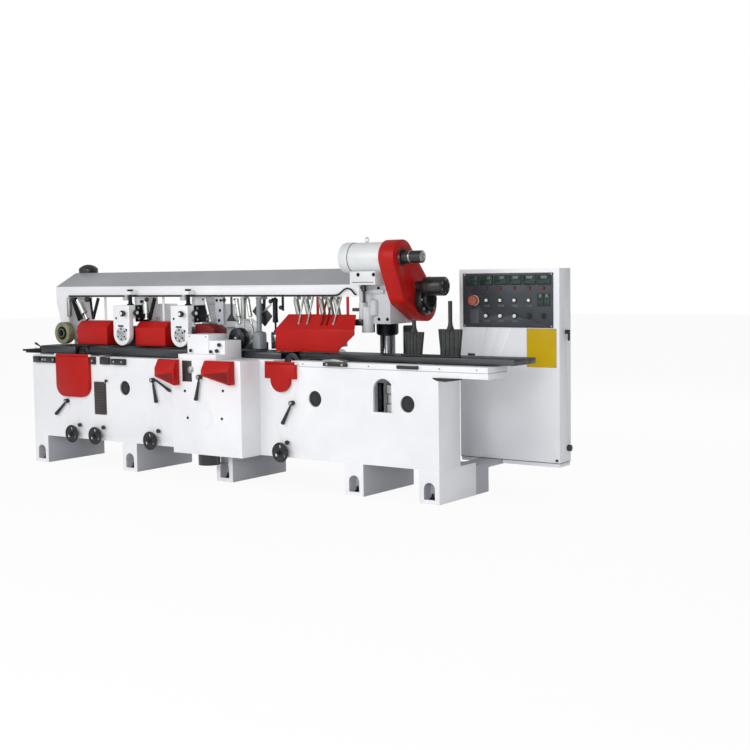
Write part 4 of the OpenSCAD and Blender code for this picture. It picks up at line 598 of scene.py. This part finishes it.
# Hangings under the beam
for unit in (("end_cylinder", (3394, 222, 1226), (3292, 222, 1076), 24, PALE_ALLOY),
        ("mid_cylinder", (2668, 222, 1228), (2666, 222, 1082), 26, PALE_ALLOY),
        ("press_cylinder_1", (2081, 224, 1236), (2034, 224, 1070), 15, PALE_ALLOY),
        ("press_cylinder_2", (1790, 224, 1236), (1762, 224, 1062), 14, PALE_ALLOY),
        ("press_cylinder_3", (1688, 224, 1236), (1656, 224, 1060), 14, PALE_ALLOY),
        ("press_cylinder_4", (1443, 224, 1240), (1443, 224, 1006), 17, OXIDE)):
    air_unit(*unit)
arms = [bar("swing_arm", *run) for run in (((3500, 272, BEAM_FLOOR), (3428, 272, 1068), 52, 14),
    ((3263, 226, 1240), (3237, 226, 1078), 18, 10), ((3172, 226, 1236), (3237, 226, 1078), 24, 12),
    ((2588, 236, 1236), (2648, 236, 1078), 28, 12), ((1395, 247, BEAM_FLOOR), (1395, 247, 1150), 16, 10))]
dress(joined("swing_arms", arms), OXIDE, "beam")
pins = [knob("swing_pin", place, "-y", size) for place, size in (((3263, 222, 1229), 22),
    ((3420, 214, 1226), 16), ((2640, 222, 1226), 16), ((1475, 232, 1214), 15), ((1395, 240, 1172), 14),
    ((1900, 236, 1222), 14))]
dress(joined("swing_pins", pins), BLACK, "beam")
PRESSURE_ARM = [(1925, 1050), (1925, BEAM_FLOOR), (1999, BEAM_FLOOR), (2003, 1140), (1985, 1050)]
dress(plate("pressure_arm", PRESSURE_ARM, 236, 262, 4), CAST_GREY, "beam")
bolts("pressure_arm_bolt", (1945, 236, 1220), "-y", 8, [(38, 0, 0), (10, 0, -70), (20, 0, -140)],
    OXIDE, "beam")
# The rear chip hood takes red darkened as painted shade
CHIP_HOOD = [(1952, 985), (1952, 1022), (2010, 1056), (2130, 1056), (2130, 985)]
dress(plate("rear_chip_hood", CHIP_HOOD, 170, 300, 4), SHADE_RED, "beam")
press_plates = [bar("press_plate", (1622, 236, 1180), (1514, 236, 1078), 96, 12, 3),
    plate("press_gusset", [(1894, 1076), (1850, 1130), (1806, 1076)], 228, 240, 2),
    bar("press_gusset", (1850, 240, BEAM_FLOOR), (1850, 240, 1100), 16, 8),
    bar("press_stem", (1556, 246, BEAM_FLOOR), (1562, 246, 1150), 22, 10),
    block("press_foot", (1420, 204, 990), (1468, 246, 1008), 4)]
dress(joined("press_plates", press_plates), BLACK_PAINT, "beam")
dress(bar("press_bar", (1600, 226, 1104), (1482, 226, 1194), 15, 9), ZINC, "beam")
SIDE_PRESS = [(44, 0), (48, 3), (48, 100), (44, 112), (26, 118), (18, 122), (18, 336), (14, 339)]
drum = turned("side_press_drum", (1562, 194, 893), "z", SIDE_PRESS)
lug = block("side_press_lug", (1540, 186, 1228), (1584, 262, BEAM_FLOOR + 0.2), 4)
dress(joined("side_press", [drum, lug]), BLUE_GREY, "beam")

# Slim rods from the beam to the slope of the infeed hood; the red ones take red darkened as painted shade
ROD = [(7, 0), (7, 0.45), (5, 0.47), (5, 0.9), (8, 0.92), (8, 1.0)]
for name, material, runs in (("pale_rods", PALE_ALLOY, ((1214, 1175), (1134, 1105), (902, 890))),
        ("red_rods", SHADE_RED, ((1017, 988), (975, 946)))):
    rods = [between(name, (high, 246, 1240), (low, 140, 1063), ROD, 20) for high, low in runs]
    dress(joined(name, rods), material, "beam")

# Boot over the lift screw
folds = [(44, 0), (44, 8)]
for i in range(14):
    folds += [(40.6, 12 + 14 * i), (44, 19 + 14 * i)]
folds += [(41, 208), (41, 217.6), (30, 219)]
dress(turned("lift_screw_boot", (470, 395, 838), "z", folds), RUBBER, "frame")

# Left head
knobs = [knob("left_hood_knob", (s, HOOD_FACE, z), "-y", size) for s, z, size in ((1650, 934, 13),
    (1672, 894, 13), (1728, 888, 11), (1911, 892, 11))]
dress(joined("left_hood_knobs", knobs), BLACK, "left_head")
dress(block("left_hood_seam", (1752, HOOD_FACE - 1, 874), (1755, HOOD_FACE + 0.5, 999), 0.4), SEAM_AND_SHADE_GREY,
    "left_head")
bolts("left_hood_screw", (1780, HOOD_FACE, 986), "-y", 4.5, [(150, 0, 0), (150, 0, -95)], ZINC, "left_head")

# Guards on the front box, each with a dark red plate on its front as painted shade under its brow
for name, near, far, low in (("guard_a", 1942, 2120, 664), ("guard_b", 1448, 1693, 683)):
    hollow = [(near + 12, low + 15), (far - 14, low + 62), (far - 30, low + 66), (near + 46, low + 82),
        (near + 12, low + 88)]
    dress(plate(name + "_painted_shade", hollow, -251.5, -248, 1), SHADE_RED, "frame")
dress(block("guard_link", (1830, BOX_FACE - 3.5, 690), (1915, BOX_FACE + 0.4, 830), 1), BLACK_PAINT, "frame")
LINK_CAP = [(24, 0), (24, 6), (18, 8), (18, 12), (14, 15), (4, 15.5)]
dress(turned("guard_link_cap", (1838, BOX_FACE - 2, 770), "-y", LINK_CAP), ZINC, "frame")

# Feed rollers
ROLLER_NUT = [(24, -9.8), (24, -4), (14, -3), (14, 6), (11, 8)]
ROLLER_HUB = [(50, -9.8), (50, -8), (46, -6), (30, -5), (28, 0), (18, 1), (17, 8), (14, 10)]
TOOTH = ((2.6, 69), (1.4, 72.6), (-1.4, 72.6), (-2.6, 69))
for i, station in enumerate((1722, 1240, 985), 2):
    body = "feed_roller_%d" % i
    tag = "roller_%d_" % i
    corners = [(station + across, ROLLER_AXIS + out) for across, out in TOOTH]
    tooth = plate(tag + "tooth", corners, 140.5, 194.5, 0.5)
    dress(around(tag + "teeth", tooth, (station, 140, ROLLER_AXIS), "Y", 40), DARK_STEEL, body)
    dress(turned(tag + "nut", (station, 130, ROLLER_AXIS), "-y", ROLLER_NUT, 24), STEEL, body)
hub = turned("roller_1_hub", (3490, 130, 974), "-y", ROLLER_HUB)
hub_bolt = bolt("roller_1_bolt", (3490, 135, 1012), "-y", 5)
hub_bolts = around("roller_1_bolts", hub_bolt, (3490, 135, 974), "Y", 6)
dress(joined("roller_1_hub", [hub, hub_bolts]), OXIDE, "feed_roller_1")

# Feed drive
MOTOR_COWL = [(97.6, 0), (100, 2), (100, 56), (95, 70), (82, 77), (30, 79)]
MOTOR_SEAM = [(97.2, 0), (98.8, 0), (98.8, 3.5), (97.2, 3.5)]
LOWER_COVER = [(66, -0.5), (66, 40), (72, 45), (90, 45), (98, 34), (98, -0.5)]
UPPER_COVER = [(42.5, -0.5), (42.5, 5), (46, 8), (50, 8), (55, -0.5)]
LOWER_CAP = [(54, 0), (54, 2.5), (49, 5), (26, 6), (24, 3), (8, 4)]
UPPER_CAP = [(34, 0), (34, 2.5), (30, 4.5), (16, 5), (14, 2), (5, 3)]
DRUM_END = [(57, 0), (57, 3), (52, 6), (30, 7), (28, 4), (8, 5)]
SHORT_POD = [(20, -60), (28, -54), (30, -40), (30, 30), (26, 42), (12, 46)]
LONG_POD = [(16, -92), (26, -84), (28, -70), (28, 50), (24, 62), (10, 66)]
GEAR_SCREW = [(10, 0), (10, 70), (17, 72), (17, 108), (13, 112)]
COLUMN_COLLAR = [(51, 0), (66, 0), (66, 5), (60, 9), (51, 9)]
dress(turned("motor_cowl", (772, MOTOR_D, MOTOR_Z), "-x", MOTOR_COWL, 64), MOTOR_WHITE, "beam")
dress(ring("motor_cowl_seam", (772, MOTOR_D, MOTOR_Z), "x", MOTOR_SEAM, 64), BLACK_PAINT, "beam")
motor_grille = grille("motor_grille", (849, MOTOR_D, MOTOR_Z), "-x", ((20, 40), (34, 48), (48, 48), (62, 48)))
dress(motor_grille, BLACK, "beam")
bolts("motor_feet_bolt", (692, 150, 1384), "-y", 9, [(-120, 0, 0)], OXIDE, "beam")
dress(block("motor_base_seam", (574, 148.6, 1334), (740, 150.5, 1338), 0.5), BLACK_PAINT, "beam")
dress(ring("lower_cover", (GUARD_SIDE, DRIVEN_D, DRIVEN_Z), "x", LOWER_COVER, 64), BLACK_PAINT, "beam")
cover_bolt = bolt("lower_cover_bolt", (359.8, DRIVEN_D, 1302), "x", 7)
dress(around("lower_cover_bolts", cover_bolt, (359, DRIVEN_D, DRIVEN_Z), "X", 8), ZINC, "beam")
dress(ring("upper_cover", (GUARD_SIDE, MOTOR_D, MOTOR_Z), "x", UPPER_COVER, 56), BLACK_PAINT, "beam")
dress(turned("lower_cap_end", (340.2, DRIVEN_D, DRIVEN_Z), "x", LOWER_CAP, 48), OXIDE, "driven_pulley")
drum_end = turned("drum_end", (200.2, DRUM_D, DRUM_Z), "x", DRUM_END, 48)
drum_band = ring("drum_band", (318, DRUM_D, DRUM_Z), "x", [(59, 0), (61.5, 1), (61.5, 9), (59, 10)])
dress(joined("drum_end", [drum_end, drum_band]), BLACK_PAINT, "beam")
drum_bolt = bolt("drum_bolt", (194.5, DRUM_D, 1346), "x", 5)
dress(around("drum_bolts", drum_bolt, (194, DRUM_D, DRUM_Z), "X", 6), ZINC, "beam")
cap_end = turned("upper_cap_end", (260.2, MOTOR_D, MOTOR_Z), "x", UPPER_CAP)
cap_band = ring("upper_cap_band", (346, MOTOR_D, MOTOR_Z), "x", [(39, 0), (41, 1), (41, 9), (39, 10)], 40)
dress(joined("upper_cap_end", [cap_end, cap_band]), ZINC, "motor_pulley")
gear_pods = [turned("gear_pod", (640, 250, 1180), "z", SHORT_POD, 32),
    turned("gear_pod", (724, 244, 1150), "z", LONG_POD, 32),
    block("gear_rib", (560, 236, 1262), (720, 250.3, 1290), 4)]
dress(joined("gear_pods", gear_pods), CAST_GREY, "beam")
gear_screw = [turned("gear_screw", (684, 200, 1206), "z", GEAR_SCREW, 24),
    block("gear_block", (700, 196, 1060), (782, 262, 1100), 4),
    block("gear_block", (742, 214, 1150), (792, 262, 1172), 3)]
dress(joined("gear_screw", gear_screw), BLACK_PAINT, "beam")
bolts("gear_bolt", (540, 250, 1296), "-y", 8, [(66, 0, 0), (0, 0, -196), (66, 0, -196), (200, 0, 6)],
    OXIDE, "beam")
dress(ring("column_collar", (665, 425, 1000), "-z", COLUMN_COLLAR), OXIDE, "beam")

# Stems of the side guides
for tag, station, low, tall in (("guide_stem_1", 258, 1024, 76), ("guide_stem_2", -5, 1044, 174)):
    stem = [(26, 0.2), (24, 4), (15, 30), (12.6, 52), (13, tall), (10, tall + 2)]
    dress(turned(tag, (station, 132, low), "z", stem, 32), PADDLE, "side_guides")

# Clamp levers, each leaning by an angle from straight down
LEVERS = ((3284.65, 0, 479.6, 49), (2380, 0, 667, -12), (1748, BOX_FACE, 725.1, 13), (1119.35, 0, 564.1, 30))
LEVER_LENGTH = 150
LEVER_GRIP = [(7, 0), (8, 0.03), (9, 0.3), (12, 0.85), (13.5, 0.93), (10, 0.99), (3, 1.0)]
SECOND_GRIP = [(6, 0), (7, 0.1), (9, 0.6), (12, 0.9), (8, 1.0), (2, 1.01)]
for i, (station, face, height, lean) in enumerate(LEVERS, 1):
    body = "clamp_lever_%d" % i
    reach = Vector((math.sin(math.radians(lean)), -math.cos(math.radians(lean)))) * LEVER_LENGTH
    start = (station + reach.x * 0.2, face - 16, height + reach.y * 0.2)
    end = (station + reach.x * 1.08, face - 19, height + reach.y * 1.08)
    dress(between("lever_%d_grip" % i, start, end, LEVER_GRIP), BLACK, body)
    dress(bolt("lever_%d_nut" % i, (station, face - 32, height), "-y", 8), ZINC, body)
root = between("second_grip_root", (2372, -16, 668), (2332, -17, 664), [(7, 0), (8, 0.5), (7, 1)])
grip = between("second_grip", (2338, -17, 665), (2204, -20, 596), SECOND_GRIP)
dress(joined("lever_2_second_grip", [root, grip]), BLACK, "clamp_lever_2")

# Handwheels
WHEEL_CAP = [(15, 0), (15, 3), (12, 6), (4, 7)]
for i, station in enumerate((3211.25, 2961.69, 2396.51, 1205), 1):
    dress(turned("wheel_%d_cap" % i, (station, -50, 240), "-y", WHEEL_CAP, 28), OXIDE, "handwheel_%d" % i)

# Cabinet
plinth = blocks("cabinet_plinth", ((305, 744, 160), (161, 886, 184.6)), ((-2, 744, 160), (-414, 886, 184.6)))
dress(plinth, SHEET_WHITE, "frame")
trim = [block("cabinet_seam", (306, 738.8, 184), (-416, 740.4, 188), 0.5),
    block("cabinet_seam", (-417, 742, 184), (-419, 874, 188), 0.5),
    block("cabinet_pull", (248, 737, 840), (195, 740.5, 864), 1),
    block("cabinet_catch", (-390, 734, 196), (-408, 740.5, 212), 2)]
dress(joined("cabinet_trim", trim), BLACK_PAINT, "frame")
pull_lip = plate("cabinet_pull_lip", [(252, 836), (252, 843), (191, 843), (191, 836)], 732, 740.3, 2)
dress(pull_lip, SHEET_WHITE, "frame")
dress(block("yellow_plate", (-188, 737.6, 787), (-398, 740.4, 1031), 1), YELLOW, "frame")
rivet = turned("yellow_plate_rivet", (-198, 737.8, 1021), "-y", [(5, 0), (5, 1), (3, 2.4)], 16)
dress(many("yellow_plate_rivets", rivet, [(-190, 0, 0), (0, 0, -224), (-190, 0, -224)]), ZINC, "frame")

# Control panel
panes, frames = [], []
for i in range(6):
    near = 253 - 104.5 * i
    frames.append(block("meter_frame", (near, 729, 1306), (near - 94, PANEL_FACE + 0.4, 1368), 2))
    panes.append(block("meter_pane", (near - 6, 727.4, 1312), (near - 88, 729.6, 1362), 1))
for near in (-268, -315):
    frames.append(block("meter_frame", (near, 730, 1172), (near - 42, PANEL_FACE + 0.4, 1252), 2))
    panes.append(block("meter_pane", (near - 4, 728.6, 1177), (near - 38, 730.6, 1247), 1))
dress(joined("meter_frames", frames), BLACK, "frame")
dress(joined("meter_panes", panes), WINDOW, "frame")
RED_LAMPS = [(-103, 0, 0), (-203, 0, 0), (-310, 0, 0), (-414, 0, 0), (-516, 0, 0)]
RED_LAMP = [(8, 0), (8, 3), (7, 5.5), (4.5, 7.5), (2, 8.2)]
RED_BEZEL = [(8.2, -0.4), (8.2, 3.6), (9.5, 4.6), (11, 3.8), (11.5, -0.4)]
lamp = turned("red_lamp", (206, PANEL_FACE - 4, 1285), "-y", RED_LAMP, 24)
dress(many("red_lamps", lamp, RED_LAMPS), DIM_RED, "frame")
bezel = ring("red_lamp_bezel", (206, PANEL_FACE, 1285), "-y", RED_BEZEL, 28)
dress(many("red_lamp_bezels", bezel, RED_LAMPS), BLACK, "frame")
WHITE_LAMPS = [(-103, 0, 0), (-206, 0, 0), (-310, 0, 0)]
WHITE_LAMP = [(11, 0), (11, 4), (9.5, 8), (6, 10.5), (2, 11.4)]
WHITE_BEZEL = [(11.2, -0.4), (11.2, 4), (13, 5.5), (15.5, 4.5), (16, -0.4)]
lamp = turned("white_lamp", (102, PANEL_FACE - 5, 1208), "-y", WHITE_LAMP, 28)
dress(many("white_lamps", lamp, WHITE_LAMPS), IVORY, "frame")
bezel = ring("lamp_bezel", (102, PANEL_FACE, 1208), "-y", WHITE_BEZEL, 32)
dress(many("lamp_bezels", bezel, WHITE_LAMPS), BLACK, "frame")
BUTTON_BEZEL = [(12, -0.4), (12, 4), (13.5, 5.5), (16, 4.5), (16.5, -0.4)]
bezel = ring("button_bezel", (103, PANEL_FACE, 1109), "-y", BUTTON_BEZEL, 32)
dress(many("button_bezels", bezel, [(-105, 0, 0), (-210, 0, 0)]), BLACK, "frame")
STOP_RING = [(20, -0.4), (20, 2.5), (33, 2.5), (35, -0.4)]
dress(ring("stop_ring", (193, PANEL_FACE, 1207), "-y", STOP_RING), PALE_RING, "frame")
legends = [block("legend_plate", (s + 24, 734.6, z - 42), (s - 24, PANEL_FACE + 0.3, z - 28), 0.8)
    for s, z in ((102, 1208), (-1, 1208), (-104, 1208), (-208, 1208), (103, 1109), (-2, 1109), (-107, 1109))]
dress(joined("legend_plates", legends), LEGEND, "frame")
dress(block("stop_plate", (224, 734.6, 1060), (162, PANEL_FACE + 0.3, 1150), 1), LEGEND, "frame")
bolts("panel_screw", (268, PANEL_FACE, 1371), "-y", 4.5, [(-633, 0, 0), (0, 0, -326), (-633, 0, -326)],
    ZINC, "frame")
SELECTOR = [(17, -0.4), (17, 6), (14, 9), (5, 9.5)]
switches = []
for s in (-210, -312):
    switches.append(turned("selector", (s, PANEL_FACE, 1109), "-y", SELECTOR, 32))
    switches.append(block("selector_wing", (s + 4, 718, 1096), (s - 4, 728, 1122), 2.5))
dress(joined("selector_switches", switches), BLACK, "frame")

# Motors behind the top heads
HEAD_COWL = [(88.6, 0), (91, 2), (91, 62), (84, 72), (70, 78), (26, 80)]
HEAD_SEAM = [(87.6, 0), (89.6, 0), (89.6, 4), (87.6, 4)]
BOX_GLAND = [(13, 0), (13, 12), (9, 15), (9, 20)]
for i, middle in TOP_HEADS:
    body = "top_head_%d" % i
    tag = "head_%d_motor_" % i
    dress(turned(tag + "cowl", (middle, 790, HEAD_AXIS), "y", HEAD_COWL, 56), MOTOR_WHITE, body)
    dress(ring(tag + "seam", (middle, 784, HEAD_AXIS), "y", HEAD_SEAM, 56), BLACK_PAINT, body)
    head_grille = grille(tag + "grille", (middle, 869, HEAD_AXIS), "y", [(r, 40) for r in (20, 33, 46, 59)])
    dress(head_grille, BLACK, body)
    fin = block(tag + "fin", (middle + 1.4, 640, 1064.5), (middle - 1.4, 776, 1072), 0.8)
    dress(around(tag + "fins", fin, (middle, 700, HEAD_AXIS), "Y", 36), MOTOR_WHITE, body)
    dress(block(tag + "box", (middle + 45, 652, 1062), (middle - 45, 744, 1110), 5), MOTOR_WHITE, body)
    dress(turned(tag + "box_gland", (middle - 44, 698, 1086), "x", BOX_GLAND, 24), BLACK, body)


# Covers on the back of the bed and of the beam
def back_covers(name, screw, spans, face, thick, low, high, inset, body):
    """Sheet covers on a back face, with screws at their corners, inset along station and height."""
    sheets, screws = [], []
    for near, far in spans:
        sheets.append(block(name, (near, face - 0.4, low), (far, face + thick, high), 3))
        screws += [bolt(screw, (s, face + thick, z), "y", 6) for s in (near + inset[0], far - inset[0])
            for z in (low + inset[1], high - inset[1])]
    dress(joined(name + "s", sheets), SHEET_WHITE, body)
    dress(joined(screw + "s", screws), ZINC, body)


back_covers("rear_cover", "rear_cover_screw", ((520, 1080), (1480, 2140), (2560, 3220)),
    BED_BACK, 5, 330, 700, (22, 22), "frame")
slat = plate("rear_slat", [(1640, 420), (1980, 420), (1980, 434), (1640, 434)], 724, 731, 2.5)
dress(many("rear_slats", slat, [(0, 0, 26 * i) for i in range(1, 8)]), SHEET_WHITE, "frame")
back_covers("beam_back_cover", "beam_back_screw", ((840, 1560), (1600, 2400), (2440, 3300)),
    BEAM_BACK, 4, 1266, 1402, (20, 18), "beam")

# Cabinet door
DOOR_SLAT = [(156, 1180), (-264, 1180), (-264, 1190), (156, 1190)]
slat = plate("door_slat", DOOR_SLAT, DOOR_FACE - 1, DOOR_FACE + 4, 2)
rows = [(0, 0, low + 22 * i) for low in (0, -880) for i in range(8)]
dress(many("door_slats", slat, rows[1:]), SHEET_WHITE, "cabinet_door")
lock = turned("door_lock", (-384, DOOR_FACE, 1009), "y", [(16, -0.5), (16, 3), (12, 5), (5, 5.5)], 32)
keyhole = block("door_lock_slot", (-382.6, DOOR_FACE + 5, 1001), (-385.4, DOOR_FACE + 6.4, 1017), 0.4)
dress(joined("door_lock", [lock, keyhole]), ZINC, "cabinet_door")


# Stage
FLOOR_GLOW, SKY_LIGHT = 0.93, 0.45
LIGHTS = (("key_light", (-2.5, -7.5, 4.2), (0, 0, 0.7), 4.0, 205),
    ("fill_light", (4.0, -7.6, 2.0), (1.6, 0.4, 0.7), 3.0, 225),
    ("back_light", (1.0, 6.0, 4.5), (0, 0, 0.8), 4.0, 120))


def lay_floor():
    """A pale floor that glows to the camera and takes a faint shadow."""
    pick_none()
    bpy.ops.mesh.primitive_plane_add(size=60, location=(0, 0, -0.0005))
    floor = bpy.context.object
    floor.name = "studio_floor"
    settle(floor)
    made = bpy.data.materials.new("pale_floor")
    made.use_nodes = True
    tree = made.node_tree
    tree.nodes.clear()
    path = add(tree, "ShaderNodeLightPath")
    plain = add(tree, "ShaderNodeBsdfDiffuse", {}, {"Color": colour("#F4F4F4")})
    glow = add(tree, "ShaderNodeEmission", {}, {"Color": (1, 1, 1, 1), "Strength": 1})
    soft = add(tree, "ShaderNodeMixShader", {}, {"Fac": FLOOR_GLOW},
        {1: plain.outputs[0], 2: glow.outputs[0]})
    seen = add(tree, "ShaderNodeMath", {"operation": "MAXIMUM"}, {},
        {0: path.outputs["Is Camera Ray"], 1: path.outputs["Is Glossy Ray"]})
    pick = add(tree, "ShaderNodeMixShader", {}, {},
        {"Fac": seen.outputs[0], 1: plain.outputs[0], 2: soft.outputs[0]})
    add(tree, "ShaderNodeOutputMaterial", {}, {}, {"Surface": pick.outputs[0]})
    floor.data.materials.append(made)


def light_room():
    """A sky that the camera sees as white, and three area lights."""
    world = bpy.data.worlds.new("studio")
    bpy.context.scene.world = world
    world.use_nodes = True
    tree = world.node_tree
    tree.nodes.clear()
    path = add(tree, "ShaderNodeLightPath")
    seen = add(tree, "ShaderNodeMath", {"operation": "MAXIMUM"}, {},
        {0: path.outputs["Is Camera Ray"], 1: path.outputs["Is Transmission Ray"]})
    level = add(tree, "ShaderNodeMapRange", {}, {"To Min": SKY_LIGHT, "To Max": 1.0},
        {"Value": seen.outputs[0]})
    sky = add(tree, "ShaderNodeBackground", {}, {"Color": (1, 1, 1, 1)},
        {"Strength": level.outputs["Result"]})
    add(tree, "ShaderNodeOutputWorld", {}, {}, {"Surface": sky.outputs[0]})
    for name, place, aim, size, power in LIGHTS:
        bpy.ops.object.light_add(type="AREA", location=place)
        lamp = bpy.context.object
        lamp.name = name
        lamp.data.size = size
        lamp.data.energy = power
        lamp.rotation_euler = (Vector(aim) - Vector(place)).to_track_quat("-Z", "Y").to_euler()


lay_floor()
light_room()
bpy.context.scene.view_settings.view_transform = "Standard"
